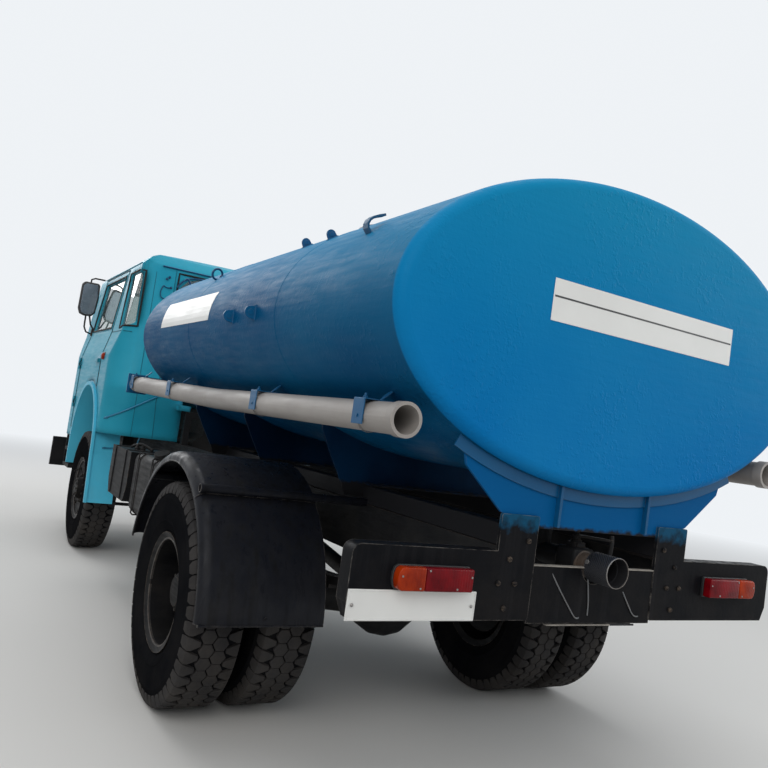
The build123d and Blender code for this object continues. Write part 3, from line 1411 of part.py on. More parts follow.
# Mirrors on bent arms ahead of the doors
mirror_x = x_front + 850.0
mirror_inner_y = 1031.0
mirror_outer_y = 1212.0
mirror_bottom = 2192.0
mirror_top = 2547.0
mirror_arm_y = 1120.0
mirror_arm_radius = 11.0
with BuildPart() as mirrors:
    with BuildSketch(at_x(mirror_x - 20)):
        with Locations(((mirror_inner_y + mirror_outer_y) / 2, (mirror_bottom + mirror_top) / 2)):
            RectangleRounded(mirror_outer_y - mirror_inner_y, mirror_top - mirror_bottom, 40)
    extrude(amount=60)
    for arm_z_level in (2017.0, 2590.0):
        with BuildSketch(at_y(900)):
            with Locations((mirror_x + 10, arm_z_level)):
                Circle(mirror_arm_radius)
        extrude(amount=900 - mirror_arm_y)
    with BuildSketch(Plane.XY.offset(2017 - mirror_arm_radius)):
        with Locations((mirror_x + 10, mirror_arm_y)):
            Circle(mirror_arm_radius)
    extrude(amount=2590 + 2 * mirror_arm_radius - 2017)
    add(cab_outer, mode=Mode.SUBTRACT)
    mirror(about=Plane.XZ)
mirrors.part.label = "mirrors"
export_step(mirrors.part, "parts/mirrors.step")

print("stations", round(x_tail), round(x_bumper), round(x_rear), round(x_front), round(x_nose))
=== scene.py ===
import json
from math import atan2, cos, pi, radians, sin, sqrt, tau

import bpy
from mathutils import Matrix, Vector

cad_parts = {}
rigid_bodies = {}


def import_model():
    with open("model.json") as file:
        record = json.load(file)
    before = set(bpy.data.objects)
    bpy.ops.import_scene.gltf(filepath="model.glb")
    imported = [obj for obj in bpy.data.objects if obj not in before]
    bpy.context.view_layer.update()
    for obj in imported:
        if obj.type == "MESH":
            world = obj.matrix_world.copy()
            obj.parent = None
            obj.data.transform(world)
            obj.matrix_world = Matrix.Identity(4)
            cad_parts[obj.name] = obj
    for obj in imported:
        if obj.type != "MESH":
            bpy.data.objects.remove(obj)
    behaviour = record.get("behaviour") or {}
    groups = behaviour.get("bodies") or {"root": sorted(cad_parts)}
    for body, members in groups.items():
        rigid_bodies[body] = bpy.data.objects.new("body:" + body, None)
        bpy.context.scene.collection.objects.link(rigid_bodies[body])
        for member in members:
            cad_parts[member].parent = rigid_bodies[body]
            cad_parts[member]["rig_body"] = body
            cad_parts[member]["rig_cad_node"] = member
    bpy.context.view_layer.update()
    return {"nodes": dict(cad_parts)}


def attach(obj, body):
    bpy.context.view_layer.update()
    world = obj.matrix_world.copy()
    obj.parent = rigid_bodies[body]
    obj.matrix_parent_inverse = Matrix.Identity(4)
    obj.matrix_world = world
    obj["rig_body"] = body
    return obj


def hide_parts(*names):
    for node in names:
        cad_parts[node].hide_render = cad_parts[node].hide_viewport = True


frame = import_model()
nodes = frame["nodes"]

# Stations shared with the solids, in metres
BUMPER_X = -3.325
REAR_X = -1.768
FRONT_X = 2.082
AXLE_Z = 0.53
FRONT_WHEEL_Y = 0.94
REAR_OUTER_Y = 1.136
REAR_INNER_Y = 0.786
TYRE_RADIUS = 0.53
RIM_RADIUS = 0.262
TANK_HALF_WIDTH = 1.102
TANK_HALF_HEIGHT = 0.604
TANK_Z = 1.926
TANK_REAR_X = -3.377
MANHOLE_X = BUMPER_X + 1.9
FRONT_BUMPER_X = 3.4395
WELD, FINE_WELD = 0.00005, 0.00002
SIDES = (("left", 1), ("right", -1))


# ---- modelling helpers

def clear():
    bpy.ops.object.select_all(action="DESELECT")


def only(piece):
    """Selects one piece and makes it active."""
    clear()
    piece.select_set(True)
    bpy.context.view_layer.objects.active = piece


def edit(piece, mode="VERT"):
    only(piece)
    bpy.context.tool_settings.mesh_select_mode = (mode == "VERT", mode == "EDGE", mode == "FACE")
    bpy.ops.object.mode_set(mode="EDIT")


def edit_all(piece):
    """Edit mode with the whole mesh selected."""
    edit(piece)
    bpy.ops.mesh.select_all(action="SELECT")


def leave():
    bpy.ops.object.mode_set(mode="OBJECT")


def pick_faces(piece, rule):
    """Selects, in edit mode, the faces whose centre and normal pass a rule."""
    leave()
    piece.data.vertices.foreach_set("select", [False] * len(piece.data.vertices))
    piece.data.edges.foreach_set("select", [False] * len(piece.data.edges))
    for face in piece.data.polygons:
        face.select = bool(rule(face.center, face.normal))
    edit(piece, "FACE")


def pressed(piece, rule, *steps, rise=None):
    """Insets the faces that pass a rule by each thickness and depth, then pushes them out by the rise."""
    pick_faces(piece, rule)
    for thickness, depth in steps:
        bpy.ops.mesh.inset(thickness=thickness, depth=depth)
    if rise is not None:
        bpy.ops.mesh.extrude_region_move(TRANSFORM_OT_translate={"value": rise})
    leave()


def apply_mods(piece):
    only(piece)
    for modifier in list(piece.modifiers):
        bpy.ops.object.modifier_apply(modifier=modifier.name)


def settle(piece):
    """Puts the piece's place, turn and size into its mesh."""
    only(piece)
    bpy.ops.object.transform_apply(location=True, rotation=True, scale=True)


def bevel(piece, width, segments=2, angle=35):
    edge = piece.modifiers.new("bevel", "BEVEL")
    edge.width = width
    edge.segments = segments
    edge.limit_method = "ANGLE"
    edge.angle_limit = radians(angle)
    apply_mods(piece)


def smooth(piece, angle=40):
    only(piece)
    bpy.ops.object.shade_smooth_by_angle(angle=radians(angle))


def outward(piece):
    """Merges doubles and turns the faces outwards."""
    edit_all(piece)
    bpy.ops.mesh.remove_doubles(threshold=WELD)
    bpy.ops.mesh.normals_make_consistent(inside=False)
    leave()


def block(name, low, high, soft=0.0, segments=2):
    """A block between two corners, with its edges eased."""
    clear()
    centre = [(a + b) / 2 for a, b in zip(low, high)]
    bpy.ops.mesh.primitive_cube_add(size=1, location=centre)
    piece = bpy.context.object
    piece.name = name
    piece.scale = [b - a for a, b in zip(low, high)]
    settle(piece)
    if soft:
        bevel(piece, soft, segments)
    return piece


def outline(name, points):
    """A closed outline of points in space, left in edit mode and all selected."""
    clear()
    bpy.ops.mesh.primitive_circle_add(vertices=len(points), radius=1)
    piece = bpy.context.object
    piece.name = name
    for vert, point in zip(piece.data.vertices, points):
        vert.co = point
    edit_all(piece)
    return piece


def slab(name, points, move, soft=0.0, segments=2):
    """A flat outline pushed along a move, closed at both ends."""
    piece = outline(name, points)
    bpy.ops.mesh.edge_face_add()
    bpy.ops.mesh.select_all(action="SELECT")
    bpy.ops.mesh.extrude_region_move(TRANSFORM_OT_translate={"value": move})
    leave()
    outward(piece)
    if soft:
        bevel(piece, soft, segments)
    return piece


def turned(name, profile, centre, axis, steps=64):
    """A closed profile of points turned once about an axis."""
    piece = outline(name, profile)
    bpy.ops.mesh.spin(steps=steps, angle=tau, center=centre, axis=axis)
    leave()
    outward(piece)
    return piece


def lathe(name, profile, centre, axis, steps, soft=None):
    """Turns pairs of a place along axis 0, 1 or 2 and a radius about a centre, and smooths the turned piece."""
    aside = 1 if axis == 0 else 0
    points = [[along if n == axis else centre[n] + (radius if n == aside else 0) for n in range(3)]
              for along, radius in profile]
    piece = turned(name, points, centre, [float(n == axis) for n in range(3)], steps)
    if soft:
        smooth(piece, soft)
    return piece


def rod(name, points, radius, sides=10, smooth_bends=False):
    """A round bar that follows a line of points."""
    clear()
    bpy.ops.curve.primitive_nurbs_path_add()
    piece = bpy.context.object
    piece.name = name
    piece.data.splines.remove(piece.data.splines[0])
    line = piece.data.splines.new("NURBS" if smooth_bends else "POLY")
    line.points.add(len(points) - 1)
    for knot, point in zip(line.points, points):
        knot.co = (*point, 1)
    if smooth_bends:
        line.use_endpoint_u = True
        line.order_u = 3
        line.resolution_u = 8
    piece.location = (0, 0, 0)
    piece.data.bevel_depth = radius
    piece.data.bevel_resolution = max(1, sides // 4)
    piece.data.use_fill_caps = True
    only(piece)
    bpy.ops.object.convert(target="MESH")
    piece = bpy.context.object
    outward(piece)
    smooth(piece, 50)
    return piece


def joined(name, pieces):
    clear()
    for piece in pieces:
        piece.select_set(True)
    bpy.context.view_layer.objects.active = pieces[0]
    if len(pieces) > 1:
        bpy.ops.object.join()
    piece = bpy.context.object
    piece.name = name
    return piece


def copy_of(piece, name, move=(0, 0, 0), size=(1, 1, 1)):
    """A copy with its own mesh, moved and scaled."""
    only(piece)
    bpy.ops.object.duplicate(linked=False)
    twin = bpy.context.object
    twin.name = name
    twin.location, twin.scale = move, size
    settle(twin)
    return twin


def mirrored(piece, name):
    """The same piece on the other side of the truck."""
    twin = copy_of(piece, name, size=(1, -1, 1))
    edit_all(twin)
    bpy.ops.mesh.normals_make_consistent(inside=False)
    leave()
    return twin


def fit_out(piece, body, finish, stands_for=None):
    """Gives a finished piece its body and its finish, and hides the node that it stands for."""
    piece.data.materials.clear()
    piece.data.materials.append(finish)
    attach(piece, body)
    if stands_for:
        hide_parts(stands_for)
    return piece


def both_sides(piece, body, finish, stands_for=None):
    """Mirrors a left piece and fits out the two. A pair of braces in the body's name takes the side."""
    label = piece.name.replace(".", "_")
    twin = mirrored(piece, label + "_right")
    piece.name = label + "_left"
    for half, side in ((piece, "left"), (twin, "right")):
        fit_out(half, body.format(side), finish, stands_for)
    return piece, twin


# ---- shared finish effects

def group(name, outputs, **inputs):
    """A shader node group. Its inputs start at the values given, and a tuple is a colour."""
    tree = bpy.data.node_groups.new(name, "ShaderNodeTree")
    for label, value in inputs.items():
        tinted = isinstance(value, tuple)
        socket = tree.interface.new_socket(label, in_out="INPUT",
                                           socket_type="NodeSocketColor" if tinted else "NodeSocketFloat")
        socket.default_value = (*value, 1) if tinted else value
    for label in outputs:
        tree.interface.new_socket(label, in_out="OUTPUT",
                                  socket_type="NodeSocketColor" if label == "Colour" else "NodeSocketFloat")
    return tree, tree.nodes.new("NodeGroupInput").outputs, tree.nodes.new("NodeGroupOutput").inputs


def node(tree, kind, **settings):
    made = tree.nodes.new("ShaderNode" + kind)
    for key, value in settings.items():
        setattr(made, key, value)
    return made


def put(tree, socket, value):
    """Sets a socket to a number or a colour, or links another socket to it."""
    if isinstance(value, (int, float)):
        socket.default_value = value
    elif isinstance(value, tuple):
        socket.default_value = (*value, 1)
    else:
        tree.links.new(value, socket)


def put_all(tree, made, values):
    """Puts values into a node's sockets, which go by their labels or numbers."""
    for label, value in values.items():
        put(tree, made.inputs[label], value)


def noise(tree, vector, scale, detail=4.0, rough=0.55):
    made = node(tree, "TexNoise")
    put_all(tree, made, {"Vector": vector, "Scale": scale, "Detail": detail, "Roughness": rough})
    return made.outputs["Fac"]


def between(tree, value, low, high, new_low=0.0, new_high=1.0):
    made = node(tree, "MapRange")
    put_all(tree, made, {"Value": value, "From Min": low, "From Max": high, "To Min": new_low, "To Max": new_high})
    return made.outputs["Result"]


def spread(tree, fac, low, high):
    """Spreads the usual range of a noise between two ends."""
    return between(tree, fac, 0.3, 0.7, low, high)


def maths(tree, operation, first, second):
    made = node(tree, "Math", operation=operation)
    put_all(tree, made, {0: first, 1: second})
    return made.outputs[0]


def blend_colour(tree, mask, first, second):
    """Mixes two colours. A Mix node's colours are its inputs 6 and 7 and its output 2."""
    made = node(tree, "Mix", data_type="RGBA")
    put_all(tree, made, {0: mask, 6: first, 7: second})
    return made.outputs[2]


def product(tree, first, *others):
    for other in others:
        first = maths(tree, "MULTIPLY", first, other)
    return first


def object_place(tree):
    return node(tree, "TexCoord").outputs["Object"]


def axes_of(tree, place):
    """The x, y and z of a place."""
    split = node(tree, "SeparateXYZ")
    tree.links.new(place, split.inputs[0])
    return split.outputs


def stretched(tree, scale):
    """Object coordinates stretched along the axes."""
    stretch = node(tree, "Mapping")
    stretch.inputs["Scale"].default_value = scale
    tree.links.new(object_place(tree), stretch.inputs["Vector"])
    return stretch.outputs["Vector"]


# Hand painted coat: slow shade changes, brush strokes and a fine orange peel
brushed_coat, given, result = group("brushed_coat", ("Colour", "Roughness", "Height"), Colour=(0.1, 0.3, 0.6),
                                    Faded=(0.2, 0.4, 0.6), Patches=1.2, Fade=0.5, Gloss=0.3, Dull=0.5)
join = brushed_coat.links.new
place = stretched(brushed_coat, (1, 1, 1))
patch = between(brushed_coat, noise(brushed_coat, place, given["Patches"], 5.0), 0.4, 0.68, 0.0, given["Fade"])
streak = noise(brushed_coat, stretched(brushed_coat, (3, 3, 26)), 1.6, 3.0)
peel = noise(brushed_coat, place, 85.0, 2.0)
lump = noise(brushed_coat, place, 9.0, 3.0)
join(blend_colour(brushed_coat, patch, given["Colour"], given["Faded"]), result["Colour"])
join(spread(brushed_coat, streak, given["Gloss"], given["Dull"]), result["Roughness"])
join(maths(brushed_coat, "ADD", product(brushed_coat, peel, 0.25),
           maths(brushed_coat, "ADD", product(brushed_coat, streak, 0.5), lump)), result["Height"])

# Road dust and splashes: thick low down, thin and patchy higher up
road_dust, given, result = group("road_dust", ("Colour",), Colour=(0.1, 0.1, 0.1), Dust=(0.2, 0.17, 0.14), Low=0.3,
                                 High=1.3, Cover=0.6)
place = object_place(road_dust)
height = between(road_dust, axes_of(road_dust, place)["Z"], given["High"], given["Low"])
cloud = between(road_dust, noise(road_dust, place, 7.0, 6.0, 0.65), 0.35, 0.7)
film = product(road_dust, height, cloud, given["Cover"])
road_dust.links.new(blend_colour(road_dust, film, given["Colour"], given["Dust"]), result["Colour"])

# Wear along edges: bare metal or undercoat where a rounded edge would show through
edge_wear, given, result = group("edge_wear", ("Colour",), Colour=(0.1, 0.1, 0.1), Bare=(0.3, 0.3, 0.3), Width=0.006,
                                 Amount=0.7, Break=26.0)
join = edge_wear.links.new
rounded = node(edge_wear, "Bevel", samples=4)
join(given["Width"], rounded.inputs["Radius"])
facing = node(edge_wear, "VectorMath", operation="DOT_PRODUCT")
join(rounded.outputs[0], facing.inputs[0])
join(node(edge_wear, "NewGeometry").outputs["Normal"], facing.inputs[1])
edge = between(edge_wear, facing.outputs["Value"], 0.995, 0.86)
chips = between(edge_wear, noise(edge_wear, object_place(edge_wear), given["Break"], 5.0, 0.7), 0.42, 0.6)
worn = product(edge_wear, edge, chips, given["Amount"])
join(blend_colour(edge_wear, worn, given["Colour"], given["Bare"]), result["Colour"])

# Water streaks that run down a panel
run_marks, given, result = group("run_marks", ("Colour", "Roughness"), Colour=(0.1, 0.1, 0.1), Mark=(0.2, 0.2, 0.2),
                                 Amount=0.5, Gloss=0.25, Dull=0.6)
lines = noise(run_marks, stretched(run_marks, (22, 22, 0.8)), 1.0, 4.0, 0.6)
marks = product(run_marks, between(run_marks, lines, 0.5, 0.72), given["Amount"])
run_marks.links.new(blend_colour(run_marks, marks, given["Colour"], given["Mark"]), result["Colour"])
run_marks.links.new(between(run_marks, lines, 0.35, 0.7, given["Gloss"], given["Dull"]), result["Roughness"])

# Fine grain for rubber, plastic and cast iron
grain, given, result = group("grain", ("Colour", "Roughness", "Height"), Colour=(0.05, 0.05, 0.05),
                             Light=(0.1, 0.1, 0.1), Size=60.0, Mix=0.5, Gloss=0.5, Dull=0.8)
place = object_place(grain)
fine = noise(grain, place, given["Size"], 6.0, 0.6)
shade = product(grain, between(grain, noise(grain, place, 4.0, 4.0), 0.38, 0.66), given["Mix"])
grain.links.new(blend_colour(grain, shade, given["Colour"], given["Light"]), result["Colour"])
grain.links.new(spread(grain, fine, given["Gloss"], given["Dull"]), result["Roughness"])
grain.links.new(fine, result["Height"])


def use(tree, shared, colour, **values):
    """Places a shared effect in a material with its own values."""
    made = node(tree, "Group", node_tree=shared)
    put_all(tree, made, {"Colour": colour, **values})
    return made.outputs


def finish(name, colour, roughness=0.5, height=None, lift=0.1, depth=0.01, rolled=0.0, shine=0.5, **plain):
    """Ends a material: its colour, roughness, relief and level of reflection, and the shader's plain values."""
    made = bpy.data.materials[name]
    tree = made.node_tree
    shader = tree.nodes["Principled BSDF"]
    put_all(tree, shader, {"Base Color": colour, "Roughness": roughness, "Specular IOR Level": shine})
    if height is not None:
        bump = node(tree, "Bump")
        put_all(tree, bump, {"Strength": lift, "Distance": depth, "Height": height})
        if rolled:
            soft = node(tree, "Bevel", samples=6)
            put_all(tree, soft, {"Radius": rolled})
            tree.links.new(soft.outputs["Normal"], bump.inputs["Normal"])
        tree.links.new(bump.outputs["Normal"], shader.inputs["Normal"])
    put_all(tree, shader, {label.replace("_", " "): value for label, value in plain.items()})
    return made


def start(name):
    made = bpy.data.materials.new(name)
    made.use_nodes = True
    return made.node_tree


# ---- finishes

def paint(name, colour, faded, bare, gloss=0.28, dull=0.45, patches=1.2, fade=0.5, wear=0.5, dust=0.35, high=1.4,
          lift=0.12, depth=0.006, **plain):
    """Painted metal: a brushed coat with worn edges and road dust."""
    tree = start(name)
    coat = use(tree, brushed_coat, colour, Faded=faded, Patches=patches, Fade=fade, Gloss=gloss, Dull=dull)
    worn = use(tree, edge_wear, coat["Colour"], Bare=bare, Width=0.005, Amount=wear, Break=24.0)
    dusty = use(tree, road_dust, worn["Colour"], Dust=(0.16, 0.14, 0.12), Low=0.25, High=high, Cover=dust)
    return finish(name, dusty["Colour"], coat["Roughness"], coat["Height"], lift, depth, **plain)


tank_tree = start("tank_coat")
place = object_place(tank_tree)
along = axes_of(tank_tree, place)
HEAD_EDGE = TANK_REAR_X + 0.042
# Painted light: the head is given a brighter blue than the barrel, mostly because the head catches more light and the
# barrel lies in shade; a separate coat on the head is the smaller part of the difference.
barrel = use(tank_tree, brushed_coat, (0.001, 0.062, 0.165), Faded=(0.006, 0.120, 0.245), Patches=0.9, Fade=0.6,
             Gloss=0.36, Dull=0.55)
# Painted light: the head's blue is lighter towards the top, as if lit from above.
head_colour = blend_colour(tank_tree, between(tank_tree, along["Z"], 1.45, 2.45), (0.000, 0.135, 0.400),
                           (0.006, 0.215, 0.410))
head = use(tank_tree, brushed_coat, head_colour, Faded=(0.015, 0.240, 0.470), Patches=0.8, Fade=0.4, Gloss=0.34,
           Dull=0.55)
on_head = between(tank_tree, along["X"], HEAD_EDGE + 0.004, HEAD_EDGE - 0.004)
# Painted highlight: the barrel's top is blended towards a light blue, standing for the sky's sheen on it.
crown = product(tank_tree, between(tank_tree, along["Z"], 1.95, 2.50), 0.8)
barrel_colour = blend_colour(tank_tree, crown, barrel["Colour"], (0.040, 0.290, 0.520))
# Painted reflection: a lighter band along the rear half of the barrel's side, standing for the sky's sheen.
sheen = product(tank_tree, between(tank_tree, along["X"], -2.2, -3.3),
                between(tank_tree, along["Z"], 1.70, 2.15, 0.0, 0.75))
barrel_colour = blend_colour(tank_tree, sheen, barrel_colour, (0.008, 0.175, 0.340))
tank_colour = blend_colour(tank_tree, on_head, barrel_colour, head["Colour"])
near_rim = between(tank_tree, along["X"], TANK_REAR_X + 0.55, TANK_REAR_X + 0.05, 0.15, 1.0)
pebbles = product(tank_tree, between(tank_tree, noise(tank_tree, place, 46.0, 2.0), 0.52, 0.68), near_rim,
                  between(tank_tree, noise(tank_tree, place, 3.0, 3.0), 0.42, 0.62),
                  between(tank_tree, on_head, 0.0, 1.0, 1.0, 0.30), 2.4)
tank_coat = finish("tank_coat", tank_colour, barrel["Roughness"], maths(tank_tree, "ADD", barrel["Height"], pebbles),
                   0.35, 0.006, shine=0.03)


def ragged_height(tree, place, scale, detail, swing):
    """The height above the floor, with a wavering edge for masks."""
    waver = spread(tree, noise(tree, place, scale, detail), -swing, swing)
    return maths(tree, "ADD", axes_of(tree, place)["Z"], waver)


cradle_tree = start("cradle_coat")
place = object_place(cradle_tree)
# Painted shade: the saddles forward of the rear one get a near-black blue, for the shade under the tank.
forward_shade_mask = between(cradle_tree, axes_of(cradle_tree, place)["X"], -3.290, -3.270)
cradle_blue = blend_colour(cradle_tree, forward_shade_mask, (0.001, 0.085, 0.250), (0.002, 0.014, 0.042))
cradle = use(cradle_tree, brushed_coat, cradle_blue, Faded=(0.006, 0.105, 0.260), Patches=1.6, Fade=0.25, Gloss=0.35,
             Dull=0.55)
# Painted shade: near black below the saddles' lower edge, for the shade under the tank.
sill_shade_mask = between(cradle_tree, ragged_height(cradle_tree, place, 30.0, 4.0, 0.008), 1.186, 1.172)
cradle_colour = blend_colour(cradle_tree, sill_shade_mask, cradle["Colour"], (0.016, 0.016, 0.018))
worn = use(cradle_tree, edge_wear, cradle_colour, Bare=(0.12, 0.11, 0.10), Width=0.004, Amount=0.4, Break=20.0)
cradle_coat = finish("cradle_coat", worn["Colour"], cradle["Roughness"], cradle["Height"], 0.15, 0.006,
                     shine=0.04)

bumper_tree = start("bumper_coat")
place = object_place(bumper_tree)
base = use(bumper_tree, run_marks, (0.0045, 0.005, 0.0065), Mark=(0.018, 0.018, 0.020), Amount=0.5, Gloss=0.3,
           Dull=0.65)
spray = product(bumper_tree, between(bumper_tree, ragged_height(bumper_tree, place, 22.0, 5.0, 0.03), 1.150, 1.200),
                0.75)
bumper_colour = blend_colour(bumper_tree, spray, base["Colour"], (0.006, 0.085, 0.175))
worn = use(bumper_tree, edge_wear, bumper_colour, Bare=(0.22, 0.20, 0.18), Width=0.005, Amount=0.85, Break=16.0)
dusty = use(bumper_tree, road_dust, worn["Colour"], Dust=(0.060, 0.050, 0.042), Low=0.5, High=1.25, Cover=0.25)
bumper_coat = finish("bumper_coat", dusty["Colour"], base["Roughness"], noise(bumper_tree, place, 60.0, 3.0), 0.25,
                     0.003, shine=0.05)

blue_paint = paint("blue_paint", (0.001, 0.075, 0.190), (0.006, 0.120, 0.260), (0.10, 0.09, 0.08), dust=0.1, wear=0.4,
                   shine=0.25)
dark_blue_paint = paint("dark_blue_paint", (0.003, 0.055, 0.135), (0.010, 0.095, 0.190), (0.10, 0.09, 0.08), dust=0.2,
                        wear=0.4, shine=0.3)
cab_paint = paint("cab_paint", (0.018, 0.295, 0.420), (0.060, 0.420, 0.550), (0.12, 0.10, 0.08), gloss=0.3,
                  dull=0.45, dust=0.25, high=1.2, wear=0.35, rolled=0.09, shine=0.12)
wing_paint = paint("wing_paint", (0.065, 0.450, 0.640), (0.110, 0.540, 0.720), (0.12, 0.10, 0.08), gloss=0.35,
                   dull=0.5, dust=0.20, high=1.0, wear=0.4, shine=0.2)
# Painted shade: the seams and the drip rail get a darker teal than the cab, for the shade along them.
cab_seam = paint("cab_seam", (0.008, 0.150, 0.210), (0.010, 0.090, 0.130), (0.12, 0.10, 0.08), gloss=0.4, dull=0.6,
                 dust=0.25, high=1.2, wear=0.2, shine=0.2)
blue_trim = paint("blue_trim", (0.010, 0.170, 0.300), (0.03, 0.24, 0.38), (0.12, 0.10, 0.08), wear=0.3)
black_paint = paint("black_paint", (0.007, 0.0075, 0.009), (0.020, 0.0195, 0.020), (0.20, 0.15, 0.11), gloss=0.48,
                    dull=0.6, patches=4.0, fade=0.4, wear=0.8, dust=0.05, high=1.3, lift=0.06, shine=0.08)
# chassis_paint is black paint darkened further as painted shade, for the shade under the truck.
chassis_paint = paint("chassis_paint", (0.008, 0.0085, 0.010), (0.026, 0.025, 0.024), (0.10, 0.07, 0.05), gloss=0.45,
                      dull=0.7, patches=5.0, fade=0.6, wear=0.5, dust=0.12, high=1.4, lift=0.3, shine=0.12)
# wheel_coat is dark paint darkened further as painted shade, for the shade the rims sit in.
wheel_paint = paint("wheel_coat", (0.0045, 0.0048, 0.006), (0.012, 0.0115, 0.011), (0.16, 0.12, 0.09), gloss=0.4,
                    dull=0.7, patches=8.0, fade=0.6, wear=0.8, dust=0.06, high=1.1, lift=0.3, shine=0.10)
lock_paint = paint("lock_paint", (0.022, 0.022, 0.024), (0.060, 0.055, 0.050), (0.20, 0.15, 0.11), gloss=0.4,
                   dull=0.6, patches=8.0, fade=0.8, wear=0.9, dust=0.10, high=1.1, lift=0.3, shine=0.2)
grey_paint = paint("grey_paint", (0.10, 0.11, 0.12), (0.17, 0.17, 0.17), (0.16, 0.12, 0.09), gloss=0.35, dull=0.6,
                   patches=4.0, fade=0.6, wear=0.5, dust=0.5, high=1.3)
pipe_paint = paint("pipe_paint", (0.270, 0.250, 0.235), (0.39, 0.365, 0.345), (0.46, 0.40, 0.34), gloss=0.45, dull=0.65,
                   patches=2.5, fade=0.6, wear=0.6, dust=0.25, high=1.6, lift=0.2)
pale_edge = paint("pale_edge", (0.30, 0.275, 0.24), (0.12, 0.11, 0.10), (0.4, 0.36, 0.3), gloss=0.6, dull=0.8,
                  patches=14.0, fade=0.9, wear=0.2, dust=0.2, high=1.5)
sign_white = paint("sign_white", (0.72, 0.72, 0.70), (0.60, 0.60, 0.58), (0.3, 0.3, 0.3), gloss=0.3, dull=0.45,
                   patches=3.0, fade=0.4, wear=0.1, dust=0.05, lift=0.03)
sign_black = paint("sign_black", (0.012, 0.012, 0.013), (0.03, 0.03, 0.03), (0.3, 0.3, 0.3), wear=0.0, dust=0.0,
                   lift=0.03)

guard_tree = start("guard_black")
# The guard's black is tinted blue: a painted sheen of the sky on the glossy sheet.
runs = use(guard_tree, run_marks, (0.0068, 0.0076, 0.0112), Mark=(0.0015, 0.0015, 0.002), Amount=0.9, Gloss=0.24,
           Dull=0.6)
worn = use(guard_tree, edge_wear, runs["Colour"], Bare=(0.22, 0.20, 0.18), Width=0.006, Amount=0.7, Break=18.0)
dusty = use(guard_tree, road_dust, worn["Colour"], Dust=(0.050, 0.048, 0.045), Low=0.3, High=1.5, Cover=0.25)
guard_black = finish("guard_black", dusty["Colour"], runs["Roughness"],
                     noise(guard_tree, object_place(guard_tree), 11.0, 3.0), 0.2, 0.006, shine=0.12)


def grained(name, colour, light, size=60.0, mix=0.6, gloss=0.5, dull=0.8, lift=0.2, depth=0.002, dust=0.0,
            high=1.0, **plain):
    """Rubber, moulded plastic or cast iron: a fine grain with slow shade changes, and dust."""
    tree = start(name)
    base = use(tree, grain, colour, Light=light, Size=size, Mix=mix, Gloss=gloss, Dull=dull)
    colour = base["Colour"]
    if dust:
        colour = use(tree, road_dust, colour, Dust=(0.115, 0.098, 0.080), Low=-0.1, High=high, Cover=dust)["Colour"]
    return finish(name, colour, base["Roughness"], base["Height"], lift, depth, **plain)


tyre_rubber = grained("tread_rubber", (0.026, 0.025, 0.026), (0.048, 0.046, 0.046), 45.0, gloss=0.6, dull=0.9,
                      lift=0.35, dust=0.30, high=1.25, shine=0.06)
wall_rubber = grained("wall_rubber", (0.0065, 0.007, 0.0085), (0.013, 0.013, 0.014), 30.0, gloss=0.55, dull=0.9,
                      lift=0.4, depth=0.003, dust=0.05, high=1.25, shine=0.0)
soft_rubber = grained("soft_rubber", (0.010, 0.010, 0.010), (0.022, 0.022, 0.022), 120.0, dust=0.15,
                      shine=0.2)
black_plastic = grained("black_plastic", (0.014, 0.014, 0.015), (0.03, 0.03, 0.031), 220.0, gloss=0.35, dull=0.6)
rusty_iron = grained("rusty_iron", (0.075, 0.052, 0.038), (0.022, 0.020, 0.019), 35.0, mix=0.9, lift=0.5, depth=0.004)
cast_iron = grained("cast_iron", (0.016, 0.0155, 0.015), (0.040, 0.035, 0.030), 40.0, lift=0.4, dust=0.25, high=1.4,
                    shine=0.2)
coupler_iron = grained("coupler_iron", (0.008, 0.009, 0.012), (0.018, 0.019, 0.024), 60.0, gloss=0.38, dull=0.6,
                       dust=0.10, high=1.4, shine=0.35)
# Painted shade: near black for the coupler's bore and the disc that closes it, where the pipe's inside is in shade.
bore_black = grained("bore_black", (0.010, 0.010, 0.012), (0.020, 0.020, 0.022), 40.0, gloss=0.5, dull=0.8,
                     shine=0.1)
core_metal = grained("core_metal", (0.060, 0.060, 0.060), (0.035, 0.033, 0.031), 90.0, dust=0.3, high=1.4, Metallic=0.6)
seat_cloth = grained("seat_fabric", (0.05, 0.052, 0.056), (0.10, 0.10, 0.10), 300.0, gloss=0.8, dull=0.95, lift=0.4,
                     Sheen_Weight=0.3)
steel = grained("steel", (0.30, 0.29, 0.28), (0.13, 0.10, 0.08), 70.0, gloss=0.3, dull=0.6, Metallic=0.9)
chrome = grained("chrome", (0.60, 0.60, 0.60), (0.50, 0.50, 0.50), 30.0, mix=0.3, gloss=0.08, dull=0.18, lift=0.02,
                 Metallic=1.0)


def lens(name, colour, deep):
    """Moulded lamp plastic with fine vertical flutes."""
    tree = start(name)
    across = object_place(tree)
    flutes = node(tree, "TexWave", bands_direction="Y")
    put_all(tree, flutes, {"Scale": 28.0, "Vector": across})
    tint = blend_colour(tree, between(tree, noise(tree, across, 14.0, 3.0), 0.35, 0.7), colour, deep)
    return finish(name, tint, 0.22, flutes.outputs["Fac"], 0.25, 0.002, Coat_Weight=0.05, Coat_Roughness=0.08,
                  shine=0.12)


red_lens = lens("red_lens", (0.190, 0.0022, 0.006), (0.090, 0.0010, 0.004))
amber_lens = lens("amber_lens", (0.380, 0.034, 0.003), (0.190, 0.012, 0.0015))
clear_lens = lens("clear_lens", (0.70, 0.72, 0.72), (0.50, 0.52, 0.52))

glass_tree = start("window_glass")
film = noise(glass_tree, object_place(glass_tree), 3.0, 4.0)
window_glass = finish("window_glass", (0.55, 0.63, 0.62), spread(glass_tree, film, 0.0, 0.03),
                      Transmission_Weight=0.9, IOR=1.45)
